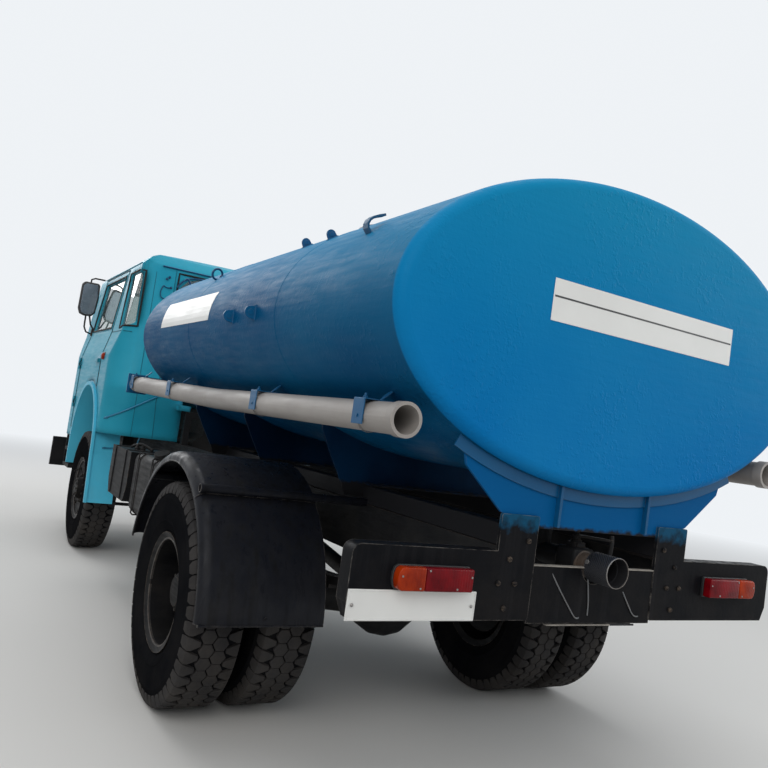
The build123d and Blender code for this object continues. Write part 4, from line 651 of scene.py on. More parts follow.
# Painted reflection: the mirror's dim grey-blue stands for the view seen in it.
mirror_tree = start("mirror_glass")
film = noise(mirror_tree, object_place(mirror_tree), 9.0)
mirror_glass = finish("mirror_glass", (0.15, 0.18, 0.21), spread(mirror_tree, film, 0.16, 0.28),
                      Metallic=1.0)

FINISH_NODES = (
    (tank_coat, "tank"), (cradle_coat, "tank_cradle"), (dark_blue_paint, "manhole manhole_lid tank_fittings"),
    (pipe_paint, "hose_tubes"), (blue_paint, "tube_clamps"), (rusty_iron, "discharge_pipe"),
    (chassis_paint, "frame_rails cross_members cab_hinges leaf_springs rear_axle front_axle knuckle_left "
                    "knuckle_right tie_rod fuel_tank cab_steps"),
    (bumper_coat, "rear_bumper"), (black_paint, "front_bumper battery_box"), (clear_lens, "lamps"),
    (guard_black, "rear_mudguards"), (cast_iron, "engine driveline"), (core_metal, "radiator"),
    (grey_paint, "air_tanks"), (cab_paint, "cab_shell door_left door_right"), (wing_paint, "cab_arches"),
    (window_glass, "cab_glass door_left_glass door_right_glass"),
    (black_plastic, "grille dashboard mirrors steering_wheel"), (seat_cloth, "cab_seats"),
    (wheel_paint, "front_rim_left front_rim_right rear_rims_left rear_rims_right"),
    (tyre_rubber, "front_tyre_left front_tyre_right rear_tyres_left rear_tyres_right"))
for made, names in FINISH_NODES:
    for name in names.split():
        nodes[name].data.materials.clear()
        nodes[name].data.materials.append(made)

# ---- camera

YAW, PITCH, ROLL = -0.521313, 0.060485, 0.141781
EYE = (-5.5213, 2.3402, 1.4476)
FOCAL_PIXELS, PICTURE_PIXELS, SENSOR = 770.63, 768, 36.0
ahead = Vector((cos(YAW) * cos(PITCH), sin(YAW) * cos(PITCH), sin(PITCH)))
side = Vector((sin(YAW), -cos(YAW), 0))
over = side.cross(ahead)
right = cos(ROLL) * side + sin(ROLL) * over
upward = -sin(ROLL) * side + cos(ROLL) * over
lens_data = bpy.data.cameras.new("camera")
lens_data.sensor_width = SENSOR
lens_data.lens = FOCAL_PIXELS / PICTURE_PIXELS * SENSOR
lens_data.clip_start = 0.05
lens_data.clip_end = 200
camera = bpy.data.objects.new("camera", lens_data)
bpy.context.scene.collection.objects.link(camera)
turn = Matrix((right, upward, -ahead)).transposed()
camera.matrix_world = Matrix.Translation(EYE) @ turn.to_4x4()
bpy.context.scene.camera = camera

# ---- tyres with their tread

PITCHES = 50
LUG_ROOT = 0.517
LUG_SINK = 0.004
LUG_EASE = 0.0022
BLOCK = 0.0365
ROW_OFFSET = 0.030
SHOULDER_HALF = 0.0305


def tyre_carcass(name, x, y):
    """The tyre's body under its lugs: beads, bulged walls with moulded rings, and a smooth crown."""
    half = [(RIM_RADIUS + 0.0006, 0.096), (0.285, 0.112), (0.305, 0.124), (0.330, 0.133), (0.334, 0.1375),
            (0.341, 0.1385), (0.345, 0.1365), (0.375, 0.1418), (0.410, 0.1405), (0.440, 0.1360), (0.444, 0.1372),
            (0.450, 0.1362), (0.454, 0.1335), (0.484, 0.1250), (0.508, 0.1160), (LUG_ROOT, 0.100),
            (LUG_ROOT + 0.001, 0.05)]
    profile = half + [(LUG_ROOT + 0.001, -0.05)] + [(radius, -width) for radius, width in reversed(half[:-1])]
    return lathe(name, [(y + width, radius) for radius, width in profile], (x, y, AXLE_Z), 1, 72)


def round_tyre(piece, x, y, angle, phase):
    """Eases a tread block's edges and copies it once round the tyre."""
    outward(piece)
    bevel(piece, LUG_EASE, 1, angle)
    edit_all(piece)
    bpy.ops.transform.rotate(value=-phase, orient_axis="Y", center_override=(x, y, AXLE_Z))
    bpy.ops.mesh.spin(steps=PITCHES, angle=tau, dupli=True, center=(x, y, AXLE_Z), axis=(0, 1, 0))
    leave()
    outward(piece)
    piece.data.materials.append(tyre_rubber)
    return piece


def lug_row(name, x, y, points, phase):
    """A row of flat-topped blocks on the tyre's crown."""
    piece = slab(name, [(x + along, y + across, AXLE_Z + TYRE_RADIUS) for along, across in points],
                 (0, 0, LUG_ROOT - LUG_SINK - TYRE_RADIUS))
    return round_tyre(piece, x, y, 60, phase)


def shoulder_row(name, x, y, way, phase):
    """A row of shoulder lugs that lap over the crown's edge and down the wall."""
    section = [(0.060, 0.530), (0.104, 0.530), (0.120, 0.521), (0.1285, 0.497), (0.1335, 0.470), (0.118, 0.470),
               (0.100, 0.512), (0.060, 0.512)]
    piece = slab(name, [(x - SHOULDER_HALF, y + way * across, AXLE_Z + up) for across, up in section],
                 (2 * SHOULDER_HALF, 0, 0))
    for vert in piece.data.vertices:
        if abs(vert.co.y - y) < 0.07:
            vert.co.x = x + (vert.co.x - x) * 0.35
        if vert.co.z < AXLE_Z + 0.48:
            vert.co.x = x + (vert.co.x - x) * 0.62
    return round_tyre(piece, x, y, 50, phase)


def tyre(name, x, y):
    """A cross-country tyre: six sided blocks in interlocking rows between two rows of shoulder lugs."""
    pitch = tau / PITCHES
    hexagon = [(BLOCK * 0.94 * sin(radians(a)), BLOCK * cos(radians(a))) for a in range(0, 360, 60)]
    carcass = tyre_carcass(name + "_body", x, y)
    carcass.data.materials.append(wall_rubber)
    parts = [carcass]
    for offset, phase in ((-ROW_OFFSET, 0.0), (ROW_OFFSET, pitch / 2)):
        points = [(along * 1.06, across + offset) for along, across in hexagon]
        parts.append(lug_row(name + "_row", x, y, points, phase))
    parts.append(shoulder_row(name + "_lugs", x, y, 1, 0.0))
    parts.append(shoulder_row(name + "_lugs", x, y, -1, pitch / 2))
    piece = joined(name, parts)
    smooth(piece, 32)
    return piece


front_left = tyre("front_tyre_left_tread", FRONT_X, FRONT_WHEEL_Y)
front_right = mirrored(front_left, "front_tyre_right_tread")
outer_left = tyre("rear_tyre_outer_left", REAR_X, REAR_OUTER_Y)
inner_left = copy_of(outer_left, "rear_tyre_inner_left", (0, REAR_INNER_Y - REAR_OUTER_Y, 0))
outer_right = mirrored(outer_left, "rear_tyre_outer_right")
inner_right = mirrored(inner_left, "rear_tyre_inner_right")
for side, front, twins in (("left", front_left, (outer_left, inner_left)),
                           ("right", front_right, (outer_right, inner_right))):
    for piece in (front, *twins):
        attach(piece, ("front_wheel_" if piece is front else "rear_wheels_") + side)
        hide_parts(("front_tyre_" if piece is front else "rear_tyres_") + side)

# ---- signs and plate, left blank


def on_barrel(z, out=0.0):
    """Where the tank's left side is at a height, pushed out along its normal."""
    up = (z - TANK_Z) / TANK_HALF_HEIGHT
    across = sqrt(max(0.0, 1 - up * up))
    normal = Vector((across / TANK_HALF_WIDTH, up / TANK_HALF_HEIGHT)).normalized()
    return TANK_HALF_WIDTH * across + normal.x * out, z + normal.y * out


def hoop(name, x, out, thick):
    """A round bead that follows the tank's section at one station."""
    clear()
    bpy.ops.curve.primitive_nurbs_circle_add(radius=1, location=(x, 0, TANK_Z), rotation=(0, pi / 2, 0))
    piece = bpy.context.object
    piece.name = name
    piece.scale = (TANK_HALF_HEIGHT + out, TANK_HALF_WIDTH + out, 1)
    settle(piece)
    piece.data.resolution_u = 24
    piece.data.bevel_depth = thick
    piece.data.bevel_resolution = 1
    only(piece)
    bpy.ops.object.convert(target="MESH")
    piece = bpy.context.object
    outward(piece)
    smooth(piece, 60)
    return piece


for name, near, far, (right_y, left_y, low_z, high_z), ease, made in (
        ("rear_sign", 0.0002, 0.0022, (-0.582, 0.451, 1.937, 2.096), 0.0008, sign_white),
        ("rear_sign_line", 0.0021, 0.0028, (-0.576, 0.445, 2.026, 2.033), 0.0002, sign_black)):
    panel = block(name, (TANK_REAR_X - far, right_y, low_z), (TANK_REAR_X - near, left_y, high_z), ease)
    fit_out(panel, "chassis", made)

SIGN_REAR_X, SIGN_FRONT_X, SIGN_LOW_Z, SIGN_HIGH_Z = -1.318, -0.283, 1.920, 2.087
heights = [SIGN_LOW_Z + (SIGN_HIGH_Z - SIGN_LOW_Z) * step / 6 for step in range(7)]
section = [on_barrel(z, 0.0022) for z in heights] + [on_barrel(z, -0.001) for z in reversed(heights)]
side_sign = slab("side_sign", [(SIGN_REAR_X, y, z) for y, z in section], (SIGN_FRONT_X - SIGN_REAR_X, 0, 0), 0.0006)
fit_out(side_sign, "chassis", sign_white)
fit_out(mirrored(side_sign, "side_sign_right"), "chassis", sign_white)


def bolt_head(name, at, along, size, thick, stud=0.0, sides=6):
    """A bolt head or nut with eased corners, and a stud's end where one stands out."""
    along = Vector(along).normalized()
    clear()
    bpy.ops.mesh.primitive_cylinder_add(vertices=sides, radius=size, depth=thick,
                                        location=Vector(at) + along * thick / 2,
                                        rotation=along.to_track_quat("Z", "Y").to_euler())
    piece = bpy.context.object
    piece.name = name
    settle(piece)
    pressed(piece, lambda centre, normal: normal.dot(along) > 0.9, (size * 0.35, 0),
            rise=along * stud if stud else None)
    bevel(piece, size * 0.12, 1, 50)
    return piece


def around(piece, count, centre, axis=(0, 1, 0)):
    """Copies a piece's mesh round an axis."""
    edit_all(piece)
    bpy.ops.mesh.spin(steps=count, angle=tau, dupli=True, center=centre, axis=axis)
    leave()
    outward(piece)
    return piece


def swept(name, profile, centre, axis, angle, steps):
    """A closed profile turned part of the way about an axis, with its ends closed."""
    piece = outline(name, profile)
    bpy.ops.mesh.spin(steps=steps, angle=angle, center=centre, axis=axis)
    bpy.ops.mesh.select_all(action="SELECT")
    bpy.ops.mesh.remove_doubles(threshold=FINE_WELD)
    bpy.ops.mesh.select_all(action="DESELECT")
    bpy.ops.mesh.select_non_manifold()
    bpy.ops.mesh.fill_holes(sides=0)
    leave()
    outward(piece)
    return piece


def plate(name, low, high, way):
    """A thin sheet with a pressed rim, facing along X one way, and its two bolts."""
    piece = block(name, low, high, 0.0012)
    pressed(piece, lambda centre, normal: normal.x * way > 0.9, (0.004, 0), (0.002, -0.0012))
    fit_out(piece, "chassis", sign_white)
    middle = (low[2] + high[2]) / 2
    face = low[0] if way < 0 else high[0]
    bolts = [bolt_head(name + "_bolt", (face, y, middle), (way, 0, 0), 0.0065, 0.003, 0.002)
             for y in (low[1] + 0.018, high[1] - 0.018)]
    fit_out(joined(name + "_bolts", bolts), "chassis", steel)


plate("rear_plate", (BUMPER_X - 0.0062, 0.586, 0.827), (BUMPER_X - 0.0002, 1.104, 0.930), -1)
plate("front_plate", (FRONT_BUMPER_X, -0.260, 0.640), (3.4440, 0.260, 0.752), 1)

# ---- lamps

LAMP_Z = (0.933, 1.018)
LAMP_Y = (0.636, 0.838, 0.951)


def tail_lamp():
    """The left tail lamp: a rubber base, a red lens, a round-ended amber lens and four screws."""
    low, high = LAMP_Z
    inner, split_y, outer = LAMP_Y
    ends = [(outer, low + 0.03), (outer, high - 0.03), (outer - 0.006, high - 0.010), (outer - 0.018, high),
            (inner, high), (inner, low), (outer - 0.018, low), (outer - 0.006, low + 0.010)]
    base = slab("tail_base", [(BUMPER_X - 0.001, y, z) for y, z in ends], (-0.012, 0, 0), 0.002)
    amber_edge = [(split_y + 0.0006, low + 0.003), (outer - 0.020, low + 0.003), (outer - 0.009, low + 0.011),
                  (outer - 0.003, low + 0.03), (outer - 0.003, high - 0.03), (outer - 0.009, high - 0.011),
                  (outer - 0.020, high - 0.003), (split_y + 0.0006, high - 0.003)]
    amber = slab("tail_amber", [(BUMPER_X - 0.012, y, z) for y, z in amber_edge], (-0.038, 0, 0), 0.0055, 3)
    red = block("tail_red", (BUMPER_X - 0.050, inner + 0.003, low + 0.003),
                (BUMPER_X - 0.012, split_y - 0.0006, high - 0.003), 0.0055, 3)
    screws = [bolt_head("tail_screw", (BUMPER_X - 0.0495, y, z), (-1, 0, 0), 0.0038, 0.002, sides=10)
              for y, z in ((inner + 0.012, 0.988), (inner + 0.070, low + 0.013), (split_y + 0.020, low + 0.013),
                           (outer - 0.018, 0.985), (split_y - 0.012, high - 0.012))]
    for piece in (amber, red):
        smooth(piece, 40)
    return base, amber, red, joined("tail_screws", screws)


def head_lamp():
    """The left headlamp: a bright bezel, a bowl behind it and a domed clear lens."""
    ring = [(3.372, 0.088), (3.372, 0.104), (3.410, 0.105), (3.424, 0.102), (3.430, 0.095), (3.427, 0.088),
            (3.418, 0.086)]
    bowl = [(3.372, 0.0), (3.376, 0.0), (3.384, 0.040), (3.398, 0.066), (3.418, 0.086), (3.412, 0.088), (3.392, 0.070),
            (3.378, 0.044), (3.372, 0.02)]
    dome = [(3.4295, 0.0), (3.4285, 0.030), (3.4255, 0.060), (3.4195, 0.0865), (3.4165, 0.0865), (3.4225, 0.060),
            (3.4255, 0.030), (3.4265, 0.0)]
    return [lathe(name, profile, (3.4, 0.850, 0.750), 0, 48, 35)
            for name, profile in (("head_bezel", ring), ("head_bowl", bowl), ("head_dome", dome))]


for pieces, finishes in ((tail_lamp(), (black_plastic, amber_lens, red_lens, steel)),
                         (head_lamp(), (chrome, chrome, clear_lens))):
    for piece, made in zip(pieces, finishes):
        both_sides(piece, "chassis", made, "lamps")

# ---- outlet pipe, coupler and valve

PIPE_Y, PIPE_Z = 0.010, 1.036
COUPLER_ENDS = (-3.438, -3.318)
KNURL_ROWS, KNURL_STEPS = 18, 72
KNURL_RADIUS, KNURL_DEPTH = 0.0598, 0.0022


def knurled_coupler():
    """The screwed cap ring: diamond knurling cut all round, with a plain lip at each end."""
    low, high = COUPLER_ENDS
    pitch = (high - low - 0.008) / KNURL_ROWS
    rows = [low + 0.004 + pitch * row for row in range(KNURL_ROWS + 1)]
    profile = [(low + 0.001, 0.0588)] + [(x, KNURL_RADIUS) for x in rows]
    profile += [(high - 0.002, 0.0592), (high, 0.0570), (high, 0.0562), (low, 0.0562)]
    piece = lathe("coupler_knurl", profile, (0, PIPE_Y, PIPE_Z), 0, KNURL_STEPS)
    for vert in piece.data.vertices:
        y, z = vert.co.y - PIPE_Y, vert.co.z - PIPE_Z
        radius = sqrt(y * y + z * z)
        if abs(radius - KNURL_RADIUS) < 0.0002:
            row = round((vert.co.x - rows[0]) / pitch)
            step = round(atan2(z, y) / (tau / KNURL_STEPS))
            if (row + step) % 2:
                vert.co.y = PIPE_Y + y * (radius - KNURL_DEPTH) / radius
                vert.co.z = PIPE_Z + z * (radius - KNURL_DEPTH) / radius
    return piece


def pipe_section(name, profile, steps=48):
    return lathe(name, profile, (0, PIPE_Y, PIPE_Z), 0, steps, 35)


coupler = knurled_coupler()
mouth = pipe_section("coupler_mouth", [(-3.4385, 0.0560), (-3.4400, 0.0566), (-3.4400, 0.0584), (-3.4385, 0.0592),
                                       (-3.4360, 0.0592), (-3.4360, 0.0560)])
# The bore is closed by a disc, a dark sheet standing for the shade inside the pipe.
bore = pipe_section("coupler_bore", [(-3.4370, 0.0535), (-3.4370, 0.0561), (-3.3200, 0.0561), (-3.3200, 0.0),
                                     (-3.3250, 0.0), (-3.3250, 0.0470), (-3.3900, 0.0480), (-3.3920, 0.0520)])
stub = pipe_section("outlet_stub", [(-3.3220, 0.030), (-3.3220, 0.0440), (-3.3140, 0.0500), (-3.3000, 0.0500),
                                    (-3.2980, 0.0460), (-3.2640, 0.0460), (-3.2620, 0.052), (-3.2500, 0.052),
                                    (-3.2500, 0.030)])
elbow = rod("outlet_elbow", [(-3.160, PIPE_Y, PIPE_Z), (-3.080, PIPE_Y, PIPE_Z), (-2.995, PIPE_Y, PIPE_Z),
                             (-2.995, PIPE_Y, 1.130), (-2.995, PIPE_Y, 1.345)], 0.045, 24, True)
VALVE_HALF_Y, VALVE_HALF_Z = 0.056, 0.058
valve = block("valve_body", (-3.262, PIPE_Y - VALVE_HALF_Y, PIPE_Z - VALVE_HALF_Z),
              (-3.148, PIPE_Y + VALVE_HALF_Y, PIPE_Z + VALVE_HALF_Z), 0.016, 3)
pressed(valve, lambda centre, normal: normal.z > 0.9 and abs(centre.z - PIPE_Z - VALVE_HALF_Z) < 0.002, (0.018, 0),
        rise=(0, 0, 0.018))
bevel(valve, 0.003, 2)
smooth(valve, 35)
stem = lathe("valve_stem", (
    (1.105, 0.0), (1.105, 0.022), (1.122, 0.022), (1.124, 0.016), (1.140, 0.016), (1.141, 0.011), (1.152, 0.011),
    (1.155, 0.008), (1.155, 0.0)), (-3.205, PIPE_Y, 0), 2, 24)
lever_line = [(-3.225, 0.030), (-3.190, 0.022), (-3.185, -0.010), (-3.230, -0.045), (-3.300, -0.096), (-3.311, -0.092),
              (-3.312, -0.078), (-3.258, -0.028)]
lever = slab("valve_lever", [(x, y, 1.134) for x, y in lever_line], (0, 0, 0.009), 0.002)
grip = rod("valve_grip", [(-3.300, -0.086, 1.080), (-3.303, -0.087, 1.110), (-3.303, -0.087, 1.140),
                          (-3.300, -0.086, 1.158)], 0.009, 12, True)
lever = joined("valve_lever", [lever, grip])
ears = [bolt_head("coupler_ear", (COUPLER_ENDS[1] - 0.012, PIPE_Y + 0.0585 * cos(a), PIPE_Z + 0.0585 * sin(a)),
                  (0, cos(a), sin(a)), 0.010, 0.0012, sides=12) for a in (radians(20), radians(200))]
seam = [pipe_section("outlet_bead", [(x - 0.004, 0.0445), (x, 0.0485), (x + 0.004, 0.0445)], 36)
        for x in (-3.296, -3.146)]
for piece, made in ((coupler, coupler_iron), (mouth, steel), (bore, bore_black), (stub, rusty_iron),
                    (elbow, chassis_paint), (valve, chassis_paint), (stem, chassis_paint), (lever, chassis_paint),
                    (joined("outlet_beads", seam), rusty_iron)):
    fit_out(piece, "chassis", made, "discharge_pipe")
fit_out(joined("coupler_ears", ears), "chassis", steel)

# ---- rear mudguards

GUARD_RADIUS = 0.674
GUARD_Y = (0.705, 1.285)
GUARD_LIP = 0.630
GUARD_TUBES = ((0.405, 1.044), (-0.420, 1.087))
TUBE_END_Y = 1.277
SHEET = 0.006


def guard_sheet(name, radius, low, high, steps):
    """One sheet of the left mudguard, with its outer edge rolled down, from one angle to another."""
    inner, outer = GUARD_Y
    roll, drop = 0.052, 0.040
    arc = [(sin(radians(a)), cos(radians(a))) for a in range(0, 91, 10)]
    skin = [(inner, radius)] + [(outer - roll + roll * s, radius - drop + drop * c) for s, c in arc]
    skin += [(outer, GUARD_LIP), (outer - SHEET, GUARD_LIP)]
    skin += [(outer - roll + (roll - SHEET) * s, radius - drop + (drop - SHEET) * c) for s, c in reversed(arc)]
    skin += [(inner, radius - SHEET)]
    start_angle = radians(low)
    profile = [(REAR_X + r * cos(start_angle), y, AXLE_Z + r * sin(start_angle)) for y, r in skin]
    return swept(name, profile, (REAR_X, 0, AXLE_Z), (0, 1, 0), radians(high - low), steps)


def guard_tube(name, along, z):
    """A tube with an open end, from the rail to the mudguard's edge."""
    ends = [(0.4325, 0.0165), (0.4325, 0.020), (TUBE_END_Y, 0.020), (TUBE_END_Y, 0.0165), (TUBE_END_Y - 0.05, 0.0165),
            (TUBE_END_Y - 0.05, 0.0), (TUBE_END_Y - 0.06, 0.0), (TUBE_END_Y - 0.06, 0.0165)]
    return lathe(name, ends, (REAR_X + along, 0, z), 1, 24, 35)


def on_guard(angle, radius, y):
    return REAR_X + radius * cos(radians(angle)), y, AXLE_Z + radius * sin(radians(angle))


left_guard = [guard_sheet("guard_lower", GUARD_RADIUS, 124, 178, 30), guard_sheet("guard_upper", 0.682, 14, 128, 62)]
for piece in left_guard:
    smooth(piece, 50)
left_guard += [guard_tube("guard_tube", along, z) for along, z in GUARD_TUBES]
hem_y = GUARD_Y[1] - 0.003
left_guard.append(rod("guard_hem", [on_guard(a, GUARD_LIP + 0.001, hem_y) for a in range(14, 179, 4)], 0.0045, 8))
left_guard.append(rod("guard_foot", [on_guard(178, GUARD_RADIUS - 0.001, y) for y in (0.706, 0.9, 1.1, 1.280)],
                      0.0055, 8))
left_guard.append(rod("guard_wire", [on_guard(176.5, 0.668, 0.984), on_guard(174.5, 0.684, 0.982),
                                     on_guard(175.2, 0.684, 0.994), on_guard(176.2, 0.668, 0.992)], 0.0022, 8, True))
for piece in left_guard:
    both_sides(piece, "chassis", guard_black, "rear_mudguards")

# ---- tank seams, saddle edges and fittings

for order, along in enumerate((1.020, 2.380)):
    fit_out(hoop("tank_seam_%d" % order, BUMPER_X + along, -0.0004, 0.0020), "chassis", tank_coat)

STRIP_WIDTH = 0.047
SADDLE_BACK_X = -3.3112
lines = [[on_barrel(TANK_Z - TANK_HALF_HEIGHT * cos(radians(a)), out) for a in range(2, 43, 4)]
         for out in (0.0, STRIP_WIDTH)]
ring = lines[0] + lines[1][::-1] + [(-y, z) for y, z in lines[1]] + [(-y, z) for y, z in reversed(lines[0])]
saddle_parts = [slab("saddle_doubler", [(SADDLE_BACK_X, y, z) for y, z in ring], (-0.008, 0, 0), 0.0015)]
saddle_parts += [block("saddle_rib", (-3.335, y - 0.006, 1.178), (-3.311, y + 0.006, 1.337), 0.0015)
                 for y in (0.241, -0.241)]
fit_out(joined("saddle_edges", saddle_parts), "chassis", blue_paint)

HOOK_LINE = ((0.945, 2.204), (0.972, 2.203), (0.991, 2.224), (0.994, 2.244), (0.987, 2.262), (0.971, 2.278),
             (0.946, 2.291), (0.919, 2.302))


def flat_hook(name, x, line, wide, thick):
    """A flat bar bent in the plane across the tank."""
    inner = []
    for order, (y, z) in enumerate(line):
        before, after = line[max(order - 1, 0)], line[min(order + 1, len(line) - 1)]
        run = Vector((after[0] - before[0], after[1] - before[1])).normalized()
        inner.append((y - run.y * thick, z + run.x * thick))
    section = [(x, y, z) for y, z in line] + [(x, y, z) for y, z in reversed(inner)]
    return slab(name, section, (wide, 0, 0), 0.0015)


def tab(name, x, z, wide, tall):
    """A thumb-shaped plate across the tank, welded on edge, with an eye."""
    foot = Vector((0, *on_barrel(z, -0.004)))
    out = (Vector((0, *on_barrel(z, tall))) - foot).normalized()
    along = Vector((0, -out.z, out.y))
    centre = foot + out * (tall + 0.004 - wide / 2)
    points = [foot + along * wide * 0.55]
    points += [centre + along * wide / 2 * cos(radians(a)) + out * wide / 2 * sin(radians(a))
               for a in range(0, 181, 20)]
    points.append(foot - along * wide * 0.55)
    piece = slab(name, [(x, point.y, point.z) for point in points], (0.010, 0, 0), 0.002)
    eye = (x + 0.0005, centre.y, centre.z)
    rims = [bolt_head(name + "_eye", eye, (-1, 0, 0), wide * 0.24, 0.0025, sides=16)]
    bead = [foot + along * wide * 0.6 + out * 0.004, foot + out * 0.003, foot - along * wide * 0.6 + out * 0.004]
    rims += [rod(name + "_weld", [(x + shift, point.y, point.z) for point in bead], 0.004, 8)
             for shift in (-0.001, 0.011)]
    return joined(name, [piece] + rims)


left_fittings = [flat_hook("tank_hook", -2.872, HOOK_LINE, 0.040, 0.010)]
left_fittings += [tab(*numbers) for numbers in (
    ("tank_tab_rear", -2.262, 2.309, 0.048, 0.042), ("tank_tab_front", -1.944, 2.318, 0.048, 0.042),
    ("tank_lug_rear", -2.061, 1.915, 0.062, 0.052), ("tank_lug_front", -1.747, 1.915, 0.062, 0.052))]
ring_y, ring_z = on_barrel(2.240, 0.025)
clear()
bpy.ops.mesh.primitive_torus_add(location=(-0.881, ring_y, ring_z), rotation=(0, radians(78), radians(12)),
                                 major_radius=0.033, minor_radius=0.0070, major_segments=28, minor_segments=10)
ring = bpy.context.object
ring.name = "tank_ring"
settle(ring)
smooth(ring, 60)
stub_y, stub_z = on_barrel(2.247, -0.004)
stub_top = on_barrel(2.247, 0.012)
lug = block("tank_ring_lug", (-0.887, stub_y - 0.010, stub_z - 0.010), (-0.875, stub_top[0], stub_top[1]), 0.003)
left_fittings += [joined("tank_ring", [ring, lug])]
hook_y, hook_z = on_barrel(2.322, -0.002)
left_fittings.append(rod("tank_front_hook", [(0.175, hook_y + out, hook_z + up) for out, up in (
    (0, 0), (0.018, 0.034), (0.040, 0.036), (0.046, 0.016))], 0.007, 12, True))
for piece in left_fittings:
    made = blue_paint if "_tab_" in piece.name or "_lug_" in piece.name else dark_blue_paint
    both_sides(piece, "chassis", made, "tank_fittings")

# Hose tube brackets: a folded plate over each tube, a tie wire under it and a wing on top
TUBE_RADIUS = 0.0556
CLAMPS = ((-3.115, 0.989, 1.495), (-2.060, 0.989, 1.495), (-0.655, 1.030, 1.511), (0.165, 1.081, 1.531))


def tube_bracket(x, y, z):
    """One folded bracket with its bolt, wing and tie wire."""
    half, sheet, wire_radius = 0.040, 0.0045, TUBE_RADIUS + 0.004
    top, outer = z + TUBE_RADIUS + 0.0008, y + TUBE_RADIUS + 0.0008
    inner = on_barrel(top, -0.004)[0]
    fold = [(inner, top), (inner, top + sheet), (outer + 0.001, top + sheet), (outer + sheet, top + 0.001),
            (outer + sheet, z - 0.034), (outer, z - 0.034), (outer, top)]
    made = [slab("bracket", [(x - half, a, b) for a, b in fold], (2 * half, 0, 0), 0.001)]
    web = [(inner + 0.002, top), (y - 0.035, top), (y - TUBE_RADIUS + 0.004, z + 0.030), (y - TUBE_RADIUS - 0.002, z),
           (on_barrel(z + 0.004, -0.004)[0], z + 0.004)]
    made.append(slab("bracket_web", [(x - 0.0025, a, b) for a, b in web], (0.005, 0, 0), 0.001))
    made.append(bolt_head("bracket_nut", (x, outer - 0.020, top + sheet), (0, 0, 1), 0.010, 0.008, 0.010))
    made.append(bolt_head("bracket_pin", (x, outer + sheet, z - 0.004), (0, 1, 0), 0.006, 0.004, sides=8))
    wing = [(-0.006, 0.0), (0.004, 0.0), (0.016, 0.022), (0.019, 0.044), (0.010, 0.056), (-0.003, 0.046),
            (-0.007, 0.022)]
    points = [(x + 0.004 + 1.1 * a - b * 0.25, y - 0.030 - b * 0.80, top + 0.003 + b * 0.75) for a, b in wing]
    made.append(slab("bracket_wing", points, (0.0, 0.003, 0.003), 0.0008))
    wire = [(x + 0.004, outer + 0.003, z - 0.014)]
    wire += [(x + 0.004 + 0.02 * step / 9, y + wire_radius * cos(radians(-15 - 18 * step)),
              z + wire_radius * sin(radians(-15 - 18 * step))) for step in range(10)]
    return made, rod("bracket_wire", wire, 0.0019, 6)


bracket_parts, wire_parts = [], []
for place in CLAMPS:
    made, wire = tube_bracket(*place)
    bracket_parts += made
    wire_parts.append(wire)
CAP_Y, CAP_Z, CAP_HALF = 1.085, 1.533, 0.070
cap = block("tube_cap", (0.232, CAP_Y - CAP_HALF, CAP_Z - CAP_HALF), (0.243, CAP_Y + CAP_HALF, CAP_Z + CAP_HALF), 0.002)
pressed(cap, lambda centre, normal: normal.x > 0.9, (0.009, 0), (0.003, -0.002))
corners = [bolt_head("cap_bolt", (0.2325, CAP_Y + a * 0.056, CAP_Z + b * 0.056), (-1, 0, 0), 0.007, 0.006, 0.004)
           for a in (-1, 1) for b in (-1, 1)]
left_brackets = joined("tube_brackets", bracket_parts + [cap] + corners)
left_wires = joined("bracket_wires", wire_parts)
for piece, made in ((left_brackets, blue_paint), (left_wires, steel)):
    both_sides(piece, "chassis", made, "tube_clamps")

# Manhole: bolts round the lid, and its handle
eye = bolt_head("lid_bolt", (MANHOLE_X + 0.262, 0, 2.655), (0, 0, 1), 0.013, 0.012, 0.010)
around(eye, 8, (MANHOLE_X, 0, 0), (0, 0, 1))
fit_out(eye, "manhole_lid", dark_blue_paint)
HANDLE_LINE = ((-0.085, 2.664), (-0.085, 2.700), (-0.060, 2.710), (0.060, 2.710), (0.085, 2.700), (0.085, 2.664))
handle = rod("lid_handle", [(MANHOLE_X + 0.075, y, z) for y, z in HANDLE_LINE], 0.008, 12, True)
fit_out(handle, "manhole_lid", dark_blue_paint)

# ---- rear bumper details

pipe_bits = [rod("tail_wire", line, 0.0028, 8, True) for line in (
    [(-3.318, 0.231, 1.007), (-3.324, 0.190, 0.950), (-3.324, 0.120, 0.870), (-3.324, 0.081, 0.828),
     (-3.322, 0.066, 0.838)],
    [(-3.322, 0.042, 0.994), (-3.325, 0.036, 0.950), (-3.324, 0.024, 0.890), (-3.322, 0.021, 0.846)],
    [(-3.322, -0.161, 0.942), (-3.325, -0.196, 0.892), (-3.325, -0.239, 0.838), (-3.322, -0.266, 0.844)])]
fit_out(joined("tail_wires", pipe_bits), "chassis", grey_paint)
flanges = [block("middle_top", (-3.3235, -0.331, 1.0285), (-3.300, 0.331, 1.0335), 0.001),
           block("middle_foot", (-3.3235, -0.110, 0.806), (-3.302, 0.228, 0.811), 0.001)]
fit_out(joined("bumper_flanges", flanges), "chassis", pale_edge)
post_bolts = [bolt_head("post_bolt", (BUMPER_X + 0.0002, way * y, z), (-1, 0, 0), 0.011, 0.007, 0.005)
              for y, z in ((0.452, 1.050), (0.492, 0.962), (0.415, 0.962), (0.452, 0.872), (0.372, 1.120))
              for way in (1, -1)]
fit_out(joined("post_bolts", post_bolts), "chassis", black_paint)

# ---- cab skin with its corners eased

CAB_MIDDLE_X = 2.3
# Where rays start, clear of the cab's side, back and front
CAST_Y, CAST_BACK_X, CAST_FRONT_X = 1.35, 1.1, 3.6


